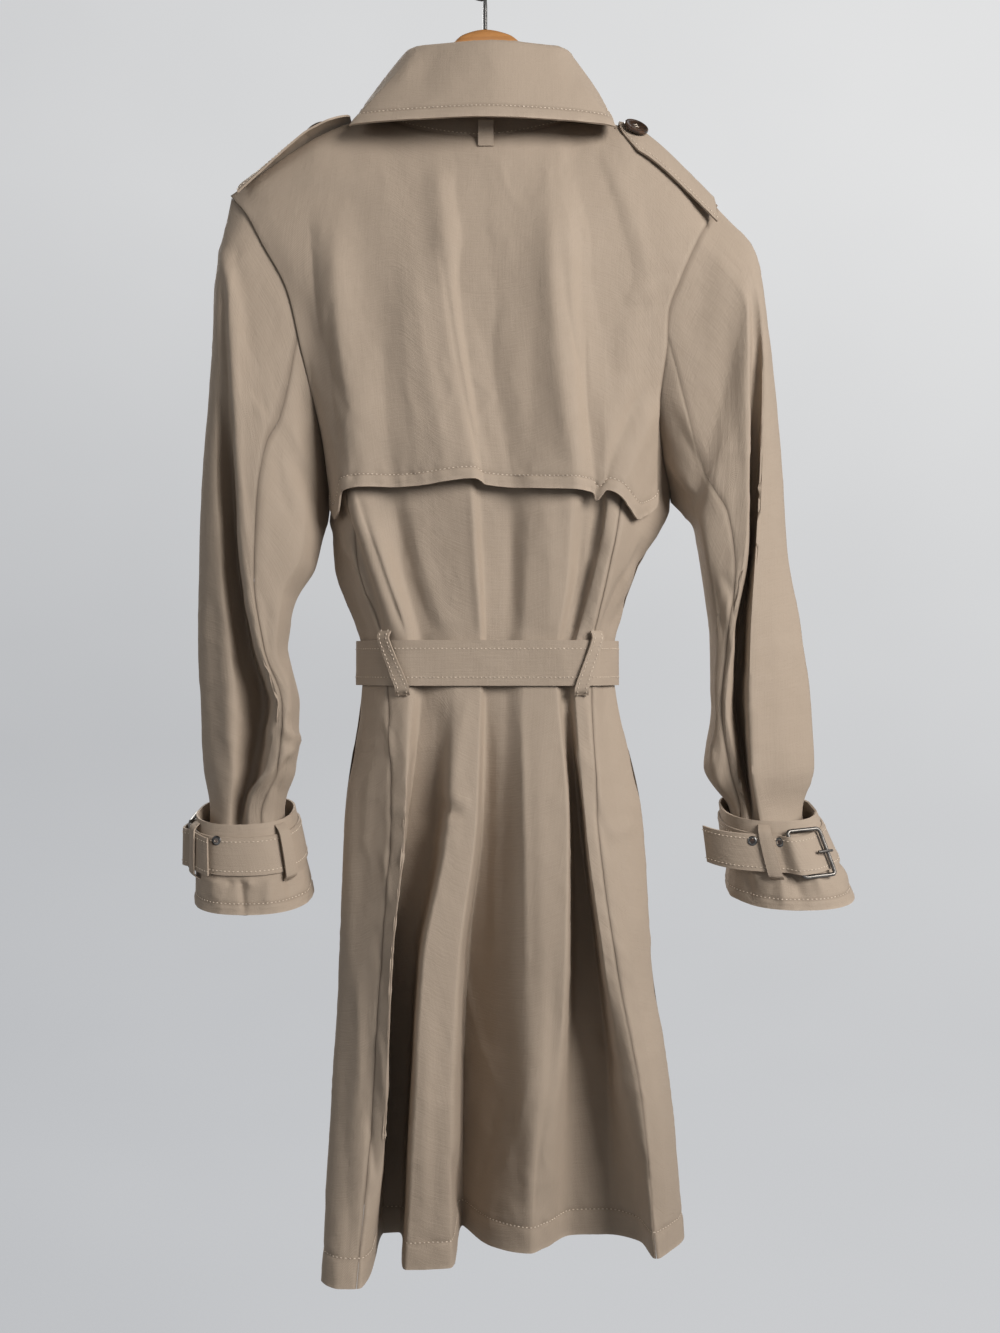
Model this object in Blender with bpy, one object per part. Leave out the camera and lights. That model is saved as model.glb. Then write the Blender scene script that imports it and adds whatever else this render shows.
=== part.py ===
"""Trench coat hanging on a wooden hanger, seen from its back, in metres with +Z up.

The origin is the top of the inside of the hanger's hook. +X is the wearer's right, +Y the wearer's front.
Every cloth piece is a thin wall built on one of a few smooth forms: the body, the sleeves, the cuffs and
the collar. Tables give each fold line or section in millimetres.
"""

import math

import bmesh
import bpy
import numpy as np
from mathutils import Matrix, Vector

MM = 0.001
WALL = 1.6
SEAM_GAP = 0.3
SEAM_BEVEL = 0.8
SHOULDER_BEVEL = 3.3

# Widths in the tables are measured on the sight plane, as they look from this point.
VIEW_X = 13.0
VIEW_Y = -1180.0
VIEW_Z = -630.0
SIGHT_PLANE_Y = -30.0

HEM_DROP = 1115.0
BELT_TOP = 608.0
BELT_BOTTOM = 646.0
UNDERARM_DROP = 486.0

# Drop below the hook of each station down the body.
STATIONS = dict(top=200, yoke=212, blade=300, armpit=420, flap=480, low=545, belt=626, hip=760,
                thigh=871, knee=985, hem=HEM_DROP)
# Across the back, left to right: place of each fold line on the sight plane at the stations above.
BACK_WIDTH = dict(
    # line      top  yoke blade armpit flap  low  belt   hip thigh  knee   hem
    side_l=   (-215, -212, -177, -143, -131, -127, -103, -119, -123, -131, -139),
    face_l=   (-190, -188, -160, -131, -125, -118, -95, -98, -106, -113, -123),
    seam_l=   (-160, -159, -145, -122, -118, -107, -84, -80, -89, -96, -109),
    edge_l=   (-140, -140, -130, -112, -110, -87, -65, -68, -79, -84, -97),
    recess_l= (-119, -119, -103, -95, -80, -70, -52, -65, -77, -82, -87),
    rise_l=   (-94, -94, -78, -70, -63, -54, -42, -42, -60, -67, -73),
    crest_l=  (-60, -60, -52, -42, -38, -32, -23, -30, -52, -59, -67),
    edge_c=   (-30, -30, -30, -16, -13, -9, -4, -8, -23, -29, -29),
    recess_c= (-5, -5, -20, -7, -3, 0, 2, -1, -13, -18, -19),
    slope_c=  (10, 10, 10, 15, 21, 20, 17, 16, 10, 11, 6),
    crest_r=  (30, 30, 40, 45, 42, 38, 34, 36, 39, 44, 38),
    edge_r=   (60, 60, 70, 72, 72, 70, 60, 70, 68, 61, 51),
    recess_r= (82, 82, 82, 82, 86, 81, 66, 75, 77, 75, 75),
    floor_r=  (100, 100, 95, 90, 94, 87, 71, 80, 93, 104, 104),
    fold_r=   (118, 118, 112, 101, 106, 94, 77, 86, 102, 117, 132),
    seam_r=   (140, 139, 130, 115, 117, 106, 91, 97, 112, 134, 146),
    face_r=   (168, 166, 150, 132, 133, 120, 100, 113, 125, 145, 156),
    side_r=   (197, 194, 170, 149, 149, 130, 109, 134, 141, 158, 169),
)
# Depth of the same lines: nearer the viewer is more negative.
BACK_DEPTH = dict(
    side_l=   (2, -10, -29, -20, 4, 0, -8, -25, -45, -75, -108),
    face_l=   (0, -14, -35, -36, -24, -20, -28, -50, -70, -100, -126),
    seam_l=   (-1, -15, -38, -43, -42, -38, -42, -64, -84, -106, -126),
    edge_l=   (-2, -16, -39, -47, -50, -54, -50, -72, -94, -112, -100),
    recess_l= (-1, -15, -42, -50, -46, -42, -44, -36, -26, -18, -22),
    rise_l=   (-2, -15, -46, -52, -49, -47, -47, -38, -27, -19, -20),
    crest_l=  (-17, -23, -48, -53, -52, -50, -50, -70, -92, -104, -92),
    edge_c=   (-24, -28, -50, -54, -54, -53, -50, -69, -90, -100, -88),
    recess_c= (-26, -30, -48, -51, -49, -45, -45, -38, -26, -14, -6),
    slope_c=  (-26, -30, -48, -51, -47, -43, -45, -46, -48, -50, -48),
    crest_r=  (-24, -28, -50, -54, -52, -50, -50, -66, -76, -80, -62),
    edge_r=   (-16, -22, -52, -56, -54, -51, -50, -68, -80, -73, -50),
    recess_r= (-2, -15, -46, -50, -46, -41, -45, -38, -27, -36, -25),
    floor_r=  (-1, -15, -43, -47, -44, -41, -44, -34, -20, -31, -24),
    fold_r=   (-2, -16, -40, -46, -48, -51, -49, -68, -80, -64, -38),
    seam_r=   (-1, -15, -38, -43, -44, -49, -46, -66, -80, -84, -72),
    face_r=   (0, -14, -35, -36, -28, -26, -30, -54, -70, -74, -60),
    side_r=   (2, -10, -29, -20, 4, 0, -8, -28, -42, -44, -26),
)
SEAM_L = 2
SEAM_R = 15
# Height of the shoulder seams and of the back neckline, on the sight plane.
TOP_EDGE_X = (-215, -119, -94, -50, -5, 40, 82, 115, 197)
TOP_EDGE_Z = (-231, -172, -166, -176, -181, -176, -167, -173, -239)

# The armholes: place on the sight plane, and depth of the back and front edges.
ARMHOLE_L = (
    # x     z     back front
    (-215, -231, 2, 2),
    (-202, -252, -18, 22),
    (-188, -280, -27, 36),
    (-167, -320, -32, 45),
    (-157, -362, -33, 48),
    (-145, -409, -26, 44),
    (-137, -450, -12, 34),
    (-131, -486, 8, 8),
)
ARMHOLE_R = (
    (197, -239, 2, 2),
    (180, -278, -26, 34),
    (166, -310, -32, 44),
    (156, -339, -33, 47),
    (155, -363, -33, 48),
    (148, -409, -26, 44),
    (151, -450, -12, 34),
    (158, -486, 8, 8),
)

# Depth across the front, by share of the half width from the centre, at the stations above.
FRONT_PLACE = (0.0, 0.38, 0.72, 0.94)
FRONT_DEPTH = dict(
    #        top yoke blade armpit flap low belt hip thigh knee hem
    centre=(4, 14, 50, 58, 58, 54, 47, 56, 61, 63, 64),
    middle=(2, 14, 52, 56, 54, 50, 45, 52, 55, 57, 58),
    outer= (2, 14, 50, 52, 48, 44, 40, 48, 54, 58, 60),
    turn=  (2, 12, 44, 36, 28, 24, 18, 18, 18, 14, 8),
)
# Lines of one front, as a share of the way from its side to its front edge.
FRONT_SHARE = (0.0, 0.06, 0.2, 0.4, 0.6, 0.8, 1.0)
FRONT_EDGE_L = (-96, -88, -10, 78, 84, 84, 84, 84, 84, 84, 84)
FRONT_EDGE_R = (84, 76, 8, -80, -85, -85, -85, -85, -85, -85, -85)
# How far the right front stands off the left one where they overlap, and where that starts.
FRONT_OVERLAP = (0, 0, 5, 7, 7, 7, 7, 7, 7, 7, 7)
OVERLAP_FULL_X = 88.0
OVERLAP_NONE_X = 116.0

# Sleeve rings: drop at the outer and inner edge, then place (sight plane) and depth of each line.
# Lines run from the inner edge over the back face, the ridge and the deep fold to the outer edge.
SLEEVE_WIDTH_L = (
    # outer inner |  in  inback seam ridge valley roll  out
    (275, 505, -134, -150, -174, -216, -220, -223, -225),
    (345, 520, -138, -152, -186, -213, -218, -227, -232),
    (430, 545, -144, -156, -194, -209, -214, -228, -237),
    (520, 575, -161, -172, -196, -202, -209, -225, -241),
    (600, 615, -170, -176, -187, -191, -199, -219, -243),
    (660, 662, -158, -164, -172, -177, -188, -214, -241),
    (715, 715, -160, -166, -176, -187, -197, -215, -239),
    (757, 757, -170, -178, -190, -200, -207, -217, -233),
)
SLEEVE_DEPTH_L = (
    # in inback seam ridge valley roll out  front
    (2, -28, -40, -38, -32, -26, -4, 36),
    (-2, -36, -46, -46, -32, -32, -6, 32),
    (-8, -40, -50, -50, -20, -34, -8, 26),
    (-14, -44, -52, -53, -14, -36, -8, 22),
    (-22, -46, -52, -54, -10, -36, -8, 20),
    (-26, -48, -54, -56, -8, -38, -8, 20),
    (-24, -46, -52, -52, -16, -38, -8, 20),
    (-14, -38, -44, -46, -26, -36, -10, 18),
)
SLEEVE_WIDTH_R = (
    (275, 500, 171, 176, 186, 222, 226, 229, 231),
    (345, 510, 178, 183, 195, 224, 229, 236, 241),
    (430, 530, 182, 188, 207, 224, 228, 234, 250),
    (520, 560, 186, 193, 213, 220, 224, 230, 257),
    (600, 610, 192, 197, 206, 211, 216, 226, 269),
    (660, 662, 192, 195, 201, 205, 213, 225, 277),
    (715, 715, 186, 193, 208, 214, 220, 227, 280),
    (757, 757, 209, 212, 217, 222, 227, 234, 270),
)
SLEEVE_DEPTH_R = (
    (-2, -28, -38, -38, -32, -28, -4, 36),
    (-8, -38, -46, -46, -32, -36, -6, 32),
    (-14, -42, -50, -50, -20, -40, -10, 26),
    (-20, -42, -50, -51, -14, -44, -14, 22),
    (-26, -42, -48, -50, -12, -48, -16, 20),
    (-26, -40, -44, -46, -10, -52, -18, 20),
    (-20, -34, -38, -40, -16, -53, -18, 20),
    (-12, -26, -33, -36, -32, -44, -16, 18),
)
SLEEVE_SEAM_BACK = 2
SLEEVE_SEAM_FRONT = 8
SLEEVE_LINES = 10
SLEEVE_TOP_LINE = 6
# Drop at which each sleeve line starts from the armhole.
ARMHOLE_DROPS = (486, 395, 350, 257, 240, 223, 200, 240, 350, 440)

# Cuffs: true centre and half sizes of the top rim and of the hem.
CUFFS = dict(
    #   rim x  y    z  half_x half_y | hem x  y   z  half_x half_y
    l=((-205, -16, -753, 41, 43), (-197, -20, -826, 49, 50)),
    r=((242, -18, -750, 40, 43), (262, -20, -822, 52, 51)),
)
CUFF_TILT = 8.0
CUFF_SQUARENESS = 2.4

# Drop of the storm flap's hem along the back's lines, and how far the flap stands off the back.
FLAP_HEM_LINE = (0, 0.6, 1.2, 2, 3, 5, 7, 8, 10, 12, 13, 13.7, 14.3, 15.3, 16.2, 16.7, 17)
FLAP_HEM_DROP = (492, 504, 500, 483, 481, 480, 475, 479, 482, 484, 487, 492, 484, 492, 505, 500, 490)
FLAP_ROWS = (200, 206, 212, 223, 240, 257, 285, 320, 350, 395, 440, 490)
FLAP_FREE_DROP = 395
FLAP_LIFT_TOP = 0.6
FLAP_LIFT_HEM = 9.0
FLAP_EDGE_SHARE = 0.3
FLAP_EDGE_IN = 0.6

# Collar: places round the neck, from the left front over the back to the right front.
COLLAR = (
    # top of the stand | lower edge of the fall
    ((-40, 50, -196), (-72, 70, -245)),
    ((-60, 30, -124), (-110, 42, -197)),
    ((-60, 6, -94), (-109, 2, -150)),
    ((-43, -13, -98), (-115, -32, -171)),
    ((2, -19, -99), (2, -56, -173)),
    ((47, -13, -98), (112, -32, -173)),
    ((65, 6, -94), (110, 2, -151)),
    ((62, 30, -124), (110, 42, -197)),
    ((34, 50, -196), (62, 70, -245)),
)
COLLAR_COLUMNS = 25
NECK_LINE_L = 5
NECK_LINE_R = 12
NECK_FRONT_DROP = 232
COLLAR_ROLL = 3.5
COLLAR_BOW = 2.5
STAND_SET_IN = 0.8

# Epaulets: x at the armhole and at the pointed end, rise over the seam there, rise in the middle,
# how far the long edges fall at the armhole and further in, and how far the back one is tilted up.
EPAULETS = dict(
    l=(-212, -117, 5.0, 5.5, 15.0, 3.5, 1.0),
    r=(199, 117, 6.5, 8.5, 20.0, 20.0, -9.0),
)
EPAULET_HALF_WIDTH = 23.0
EPAULET_POINT = 0.82
# Where each epaulet's button stands: share of its length from the armhole, share of its half width.
EPAULET_BUTTONS = dict(l=(0.7, 0.0), r=(0.84, -0.35))

BUTTON_RADIUS = 11.0
BUTTON_HEIGHT = 3.6
BUTTON_RIM = 2.2
BUTTON_GAP = 0.8
FRONT_BUTTON_X = (58.0, -58.0)
FRONT_BUTTON_DROPS = (445, 535, 715, 810)
POCKET_ROWS = (725, 775, 830, 890)
POCKET_LINES = (0.5, 1.0, 1.5)
LAPEL_ROWS = (223, 240, 257, 285, 320, 350, 395, 416)

BELT_GAP = 1.0
BELT_WIDTH = BELT_BOTTOM - BELT_TOP
BELT_TAIL = 95.0
BELT_PITCH = 9.0
BELT_RISE = 5.2
BELT_LAYER_GAP = 1.5
BUCKLE_LIE = 0.6
BELT_LOOP_WIDTH = 12.0
BELT_LOOP_REACH = 8.0
# Where each belt loop crosses the belt's top and bottom edge.
BELT_LOOPS = dict(l=(-81, -70), r=(90, 82))
BUCKLE_WIRE = 2.0
BUCKLE_HALF_LENGTH = 17.0
BUCKLE_MARGIN = 2.5
PRONG_WIRE = 1.1

STRAP_TOP = 0.14
STRAP_BOTTOM = 0.56
STRAP_THICKNESS = 1.6
STRAP_GAP = 0.5
STRAP_LAYER_GAP = 0.8
STRAP_RISE = 5.72
STRAP_BUCKLE_WIRE = 1.7
STRAP_BUCKLE_MARGIN = 2.0
# Length along the cuff of one degree round it.
CUFF_DEGREE = 0.82
STRAP_BUCKLE_HALF_LENGTH = 15.0
# Cuff straps: bearing of the buckle, way the tail points, its length past the buckle, how far its tip
# stands off.
STRAPS = dict(l=(180.0, 1, 50.0, 3.0), r=(-66.0, -1, 78.0, 17.0))
STRAP_LOOP_BEARINGS = dict(l=(-145.0, -42.0), r=(-106.0, 100.0))
STRAP_LOOP_WIDTH = 10.0
STRAP_LOOP_THICKNESS = 1.3

# Hanger arms: x, top, height and thickness of each section.
HANGER = (
    (-205, -217, 15, 11),
    (-180, -199, 17, 12),
    (-160, -185, 19, 12),
    (-140, -174, 22, 13),
    (-120, -167, 25, 13),
    (-104, -166, 29, 13),
    (-88, -163, 34, 13),
    (-62, -136, 40, 14),
    (-34, -94, 44, 14),
    (-18, -79, 46, 14),
    (0, -75, 46, 14),
    (20, -79, 46, 14),
    (38, -95, 44, 14),
    (62, -139, 40, 14),
    (74, -161, 36, 13),
    (88, -166, 34, 13),
    (104, -167, 29, 13),
    (120, -169, 25, 13),
    (140, -179, 22, 13),
    (160, -196, 19, 12),
    (184, -220, 15, 10),
)
HANGER_SQUARENESS = 2.6
HANGER_CROWN = -75.0
HOOK_WIRE = 1.9
HOOK_RADIUS = 25.0

COLLECTION = "trench_coat"


# ---------------------------------------------------------------- smooth curves and grids
def smooth(knots, values, at):
    """Monotone cubic through the knots: it never swings past a value."""
    knots = np.asarray(knots, float)
    values = np.asarray(values, float).reshape(len(knots), -1)
    step = np.diff(knots)[:, None]
    rise = np.diff(values, axis=0) / step
    slope = np.zeros_like(values)
    slope[0], slope[-1] = rise[0], rise[-1]
    before, after = step[:-1], step[1:]
    same_way = rise[:-1] * rise[1:] > 0
    safe_before = np.where(same_way, rise[:-1], 1.0)
    safe_after = np.where(same_way, rise[1:], 1.0)
    weight_a, weight_b = 2 * after + before, after + 2 * before
    blended = (weight_a + weight_b) / (weight_a / safe_before + weight_b / safe_after)
    slope[1:-1] = np.where(same_way, blended, 0.0)
    at = np.clip(np.asarray(at, float), knots[0], knots[-1])
    left = np.clip(np.searchsorted(knots, at, side="right") - 1, 0, len(knots) - 2)
    width = step[left, 0]
    u = ((at - knots[left]) / width)[:, None]
    width = width[:, None]
    start, end = values[left], values[left + 1]
    return ((1 + 2 * u) * (1 - u) ** 2 * start + u * (1 - u) ** 2 * width * slope[left]
            + u * u * (3 - 2 * u) * end + u * u * (u - 1) * width * slope[left + 1])


def section(points, before, after, at):
    """Curve through the points, found by line number; ghosts before and after give its end slopes."""
    every = np.array([*before, *points, *after])
    length = np.r_[0, np.cumsum(np.linalg.norm(np.diff(every, axis=0), axis=1) + 1e-6)]
    own = length[len(before):len(before) + len(points)]
    place = np.interp(at, np.arange(len(points)), own)
    return smooth(length, every, place)


def from_sight_plane(seen, depth, centre):
    """True place of what lies at this depth and looks to be at 'seen' on the sight plane."""
    return centre + (seen - centre) * (depth - VIEW_Y) / (SIGHT_PLANE_Y - VIEW_Y)


def unit(vectors):
    length = np.linalg.norm(vectors, axis=-1, keepdims=True)
    return vectors / np.maximum(length, 1e-9)


def normals(surface, across, down, flip):
    """Outward directions of a surface at a grid of places."""
    small_across, small_down = 0.04, 1.0
    along = surface(across + small_across, down) - surface(across - small_across, down)
    fall = surface(across, down + small_down) - surface(across, down - small_down)
    direction = np.cross(fall, along)
    return unit(-direction if flip else direction)


# ---------------------------------------------------------------- the body's form
def table_column(table, name):
    return np.array(table[name], float)


STATION_DROPS = np.array(list(STATIONS.values()), float)
BACK_LAST = len(BACK_WIDTH) - 1
FRONT_LAST = len(FRONT_SHARE) - 1
LAST_LINES = (BACK_LAST, FRONT_LAST, FRONT_LAST)


def drop_to_height(top_z, drop):
    """Height of a place at this drop on a line that starts at top_z."""
    return smooth((STATIONS["top"], STATIONS["blade"], STATIONS["armpit"], HEM_DROP),
                  (top_z, -STATIONS["blade"], -STATIONS["armpit"], -HEM_DROP), drop)[:, 0]


def shoulder_height(seen_x):
    return smooth(TOP_EDGE_X, TOP_EDGE_Z, np.atleast_1d(seen_x))[:, 0]


def seam_height(x, depth):
    """True height of the shoulder seam above a true place."""
    seen = VIEW_X + (x - VIEW_X) * (SIGHT_PLANE_Y - VIEW_Y) / (depth - VIEW_Y)
    return from_sight_plane(shoulder_height(seen), depth, VIEW_Z)


def armhole_rows(side):
    """True x, back depth, front depth and height down an armhole."""
    rows = np.array(ARMHOLE_L if side < 0 else ARMHOLE_R, float)
    middle = (rows[:, 2] + rows[:, 3]) / 2
    back_x = from_sight_plane(rows[:, 0], rows[:, 2], VIEW_X)
    height = from_sight_plane(rows[:, 1], middle * 0, VIEW_Z)
    height[-1] = -UNDERARM_DROP
    return back_x, rows[:, 2], rows[:, 3], height


def armhole_drops(side):
    """Drop on the body's grid of each row of the armhole table."""
    height = armhole_rows(side)[3]
    drops = np.linspace(STATIONS["top"], UNDERARM_DROP, 300)
    heights = drop_to_height(height[0], drops)
    return np.interp(-height, -heights, drops)


def side_line(side, drop, front):
    """The armhole's edge, then the side seam, at these drops."""
    name = "side_l" if side < 0 else "side_r"
    back_x, back_y, front_y, height = armhole_rows(side)
    arm_drop = armhole_drops(side)
    arm_y = front_y if front else back_y
    below = STATION_DROPS > UNDERARM_DROP + 20
    depth = table_column(BACK_DEPTH, name)[below]
    place = from_sight_plane(table_column(BACK_WIDTH, name)[below], depth, VIEW_X)
    knots = np.r_[arm_drop, STATION_DROPS[below]]
    x = smooth(knots, np.r_[back_x, place], drop)[:, 0]
    seam_y = smooth(knots, np.r_[back_y, depth], drop)[:, 0]
    arm_y = smooth(arm_drop, arm_y, drop)[:, 0]
    y = np.where(np.asarray(drop) > arm_drop[-1], seam_y, arm_y)
    return np.stack([x, y, drop_to_height(height[0], drop)], axis=-1)


def back_line(name, drop):
    seen = table_column(BACK_WIDTH, name)
    depth = table_column(BACK_DEPTH, name)
    x = smooth(STATION_DROPS, from_sight_plane(seen, depth, VIEW_X), drop)[:, 0]
    y = smooth(STATION_DROPS, depth, drop)[:, 0]
    top = from_sight_plane(shoulder_height(seen[0])[0], depth[0], VIEW_Z)
    return np.stack([x, y, drop_to_height(top, drop)], axis=-1)


def front_lines(side, drop):
    """Lines of one front from the side to its front edge, at these drops."""
    drop = np.r_[STATIONS["top"], drop]
    start = side_line(side, drop, True)
    edge_x = smooth(STATION_DROPS, FRONT_EDGE_L if side < 0 else FRONT_EDGE_R, drop)[:, 0]
    overlap = smooth(STATION_DROPS, FRONT_OVERLAP, drop)[:, 0] * (side > 0)
    depths = [smooth(STATION_DROPS, row, drop)[:, 0] for row in FRONT_DEPTH.values()]
    far_side = side_line(-side, drop, True)
    lines = [start]
    for share in FRONT_SHARE[1:]:
        x = start[:, 0] + share * (edge_x - start[:, 0])
        near = np.where(x * side > 0, 1, 0)[:, None]
        limit = near * start + (1 - near) * far_side
        columns = zip(x / limit[:, 0], *depths, limit[:, 1])
        y = np.array([smooth((*FRONT_PLACE, 1.0), row[1:], [row[0]])[0, 0] for row in columns])
        covered = np.clip((OVERLAP_NONE_X - x) / (OVERLAP_NONE_X - OVERLAP_FULL_X), 0, 1)
        y = y + overlap * covered * covered * (3 - 2 * covered)
        top = seam_height(x[0], y[0])[0]
        lines.append(np.stack([x, y, drop_to_height(top, drop)], axis=-1))
    return [line[1:] for line in lines]


def back_form(across, down):
    """Places on the back: across counts the fold lines, down is the drop."""
    lines = [side_line(-1, down, False)]
    lines += [back_line(name, down) for name in list(BACK_WIDTH)[1:-1]]
    lines += [side_line(1, down, False)]
    left = front_lines(-1, down)
    right = front_lines(1, down)
    grid = np.empty((len(down), len(across), 3))
    for row in range(len(down)):
        points = np.array([line[row] for line in lines])
        free = section(points, [], [], across)
        share = np.clip((down[row] - UNDERARM_DROP + 10) / 20, 0, 1)
        if share > 0:
            joined = section(points, [left[2][row], left[1][row]], [right[1][row], right[2][row]], across)
            free = free + share * (joined - free)
        grid[row] = free
    return grid


def front_form(side):
    """A front as a form of line number (0 side to 6 front edge) and drop."""
    face = "face_l" if side < 0 else "face_r"
    seam = "seam_l" if side < 0 else "seam_r"

    def form(across, down):
        lines = front_lines(side, down)
        near = back_line(face, down)
        far = back_line(seam, down)
        grid = np.empty((len(down), len(across), 3))
        for row in range(len(down)):
            points = np.array([line[row] for line in lines])
            free = section(points, [], [], across)
            share = np.clip((down[row] - UNDERARM_DROP + 10) / 20, 0, 1)
            if share > 0:
                joined = section(points, [far[row], near[row]], [], across)
                free = free + share * (joined - free)
            grid[row] = free
        return grid
    return form


# ---------------------------------------------------------------- the sleeves' form
def armhole_edge(side, across):
    """Places on the armhole for these places round the sleeve's first ring."""
    across = np.mod(across, SLEEVE_LINES)
    drop = np.interp(across, np.arange(SLEEVE_LINES + 1), (*ARMHOLE_DROPS, ARMHOLE_DROPS[0]))
    in_front = (across > SLEEVE_TOP_LINE)[:, None]
    return np.where(in_front, side_line(side, drop, True), side_line(side, drop, False))


def sleeve_rings(side):
    """Control rings of a sleeve, armhole to hem: each has seven back lines and three front ones."""
    widths = SLEEVE_WIDTH_L if side < 0 else SLEEVE_WIDTH_R
    depths = SLEEVE_DEPTH_L if side < 0 else SLEEVE_DEPTH_R
    rings = [armhole_edge(side, np.arange(SLEEVE_LINES))]
    for width, depth in zip(widths, depths):
        outer_drop, inner_drop = width[:2]
        seen = np.array(width[2:], float)
        y = np.array(depth[:7], float)
        x = from_sight_plane(seen, y, VIEW_X)
        front_x = x[6] + np.array([0.14, 0.5, 0.86]) * (x[0] - x[6])
        front_y = depth[7] - np.array([6.0, 0.0, 6.0])
        x = np.r_[x, front_x]
        y = np.r_[y, front_y]
        share = (x - x[6]) / (x[0] - x[6])
        z = -(outer_drop + share * (inner_drop - outer_drop))
        rings.append(np.stack([x, y, z], axis=-1))
    rings.append(cuff_ring(side, 1.0, -WALL - 0.9, rings[-1]))
    return np.array(rings)


def cuff_point(side, angle, share, out):
    """Place on a cuff: angle about its axis, share of the way from rim to hem, moved out."""
    rim, hem = (np.array(row, float) for row in CUFFS["l" if side < 0 else "r"])
    centre = rim + share * (hem - rim)
    half_x, half_y = centre[3] + out, centre[4] + out
    c, s = np.cos(angle), np.sin(angle)
    size = (np.abs(c) ** CUFF_SQUARENESS + np.abs(s) ** CUFF_SQUARENESS) ** (-1 / CUFF_SQUARENESS)
    x = centre[0] + half_x * c * size
    y = centre[1] + half_y * s * size
    z = centre[2] + CUFF_TILT * (y - centre[1]) / centre[4] + 0 * x
    return np.stack([x, y, z], axis=-1)


def cuff_ring(side, share, out, like):
    """The cuff's ring with points at the same bearings as the ring 'like'."""
    rim = CUFFS["l" if side < 0 else "r"][0]
    angle = np.arctan2(like[:, 1] - rim[1], like[:, 0] - rim[0])
    return cuff_point(side, angle, share, out)


def sleeve_form(side):
    """A sleeve as a form of line number (0 inner edge, 6 outer edge, 10 inner edge again) and ring."""
    rings = sleeve_rings(side)

    def form(across, down):
        columns = smooth(np.arange(len(rings)), rings.reshape(len(rings), -1), np.r_[0, down])
        columns = columns.reshape(len(down) + 1, -1, 3)
        grid = np.empty((len(down) + 1, len(across), 3))
        for row, ring in enumerate(columns):
            loop = np.vstack([ring, ring[:1]])
            grid[row] = section(loop, ring[-2:], ring[1:3], np.mod(across, SLEEVE_LINES))
        to_edge = armhole_edge(side, across) - grid[0]
        near_edge = np.clip(1 - down, 0, 1)[:, None, None] ** 2
        return grid[1:] + near_edge * to_edge
    return form


# ---------------------------------------------------------------- solids
def add_object(name, mesh, material):
    mesh.materials.append(material)
    item = bpy.data.objects.new(name, mesh)
    bpy.data.collections[COLLECTION].objects.link(item)
    return item


def finish_mesh(name, bm, material, smooth_angle=40):
    bmesh.ops.recalc_face_normals(bm, faces=bm.faces)
    mesh = bpy.data.meshes.new(name)
    bm.to_mesh(mesh)
    bm.free()
    mesh.shade_smooth()
    mesh.set_sharp_from_angle(angle=math.radians(smooth_angle))
    return add_object(name, mesh, material)


def wall(name, outer, inner, material, wrap=False):
    """Closed wall between two grids of the same size, in millimetres."""
    rows, columns = outer.shape[:2]
    bm = bmesh.new()
    grids = []
    for grid in (outer, inner):
        grids.append([[bm.verts.new(Vector(point) * MM) for point in row] for row in grid])
    spans = columns if wrap else columns - 1
    for side, grid in enumerate(grids):
        for i in range(rows - 1):
            for j in range(spans):
                k = (j + 1) % columns
                a, b, c, d = grid[i][j], grid[i][k], grid[i + 1][k], grid[i + 1][j]
                triangles = ((a, b, c), (a, c, d))
                for triangle in triangles:
                    bm.faces.new(triangle if side else triangle[::-1])
    out, back = grids
    edges = [(out[0], back[0], spans), (out[-1], back[-1], spans)]
    if not wrap:
        edges.append(([row[0] for row in out], [row[0] for row in back], rows - 1))
        edges.append(([row[-1] for row in out], [row[-1] for row in back], rows - 1))
    for upper, lower, count in edges:
        for j in range(count):
            k = (j + 1) % len(upper)
            bm.faces.new((upper[j], upper[k], lower[k]))
            bm.faces.new((upper[j], lower[k], lower[j]))
    return finish_mesh(name, bm, material)


def inset(grid, amount, edges, top_amount=None):
    """Pulls the named edges of a grid in along its surface."""
    top_amount = amount if top_amount is None else top_amount
    original = grid
    grid = grid.copy()
    if "left" in edges:
        grid[:, 0] += amount * unit(original[:, 1] - original[:, 0])
    if "right" in edges:
        grid[:, -1] += amount * unit(original[:, -2] - original[:, -1])
    if "top" in edges:
        grid[0] += top_amount * unit(original[1] - original[0])
    if "bottom" in edges:
        grid[-1] += amount * unit(original[-2] - original[-1])
    return grid


def cloth(name, form, across, down, flip, material, edges, wrap=False):
    """A panel of cloth on a form, with its seam edges held off their neighbours."""
    outward = normals(form, across, down, flip)
    surface = form(across, down)
    outer = inset(surface, SEAM_GAP / 2, edges)
    gap = SEAM_GAP / 2
    inner = inset(surface - outward * WALL, gap + SEAM_BEVEL, edges, gap + SHOULDER_BEVEL)
    return wall(name, outer, inner, material, wrap)


def material(name, colour, roughness, metallic=0.0):
    item = bpy.data.materials.new(name)
    item.use_nodes = True
    item.diffuse_color = (*colour, 1.0)
    shader = item.node_tree.nodes["Principled BSDF"]
    shader.inputs["Base Color"].default_value = (*colour, 1.0)
    shader.inputs["Roughness"].default_value = roughness
    shader.inputs["Metallic"].default_value = metallic
    return item


ARM_ROWS = (200, 206, 212, 223, 240, 257, 285, 320, 350, 395, 440, 465, UNDERARM_DROP)
BODY_ROWS = np.array([*ARM_ROWS, 508, 535, 570, 608, 646, 680, 725, 775, 830, 890, 950, 1015, 1070,
                      HEM_DROP], float)
SLEEVE_ROWS = np.array([0, 0.35, 1, 1.7, 2.4, 3, 3.6, 4.2, 5, 5.6, 6.2, 7, 8, 9])
FRONT_COLUMNS = np.array([0, 0.5, 1, 1.5, 2.2, 3, 4, 5, 6])


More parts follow.
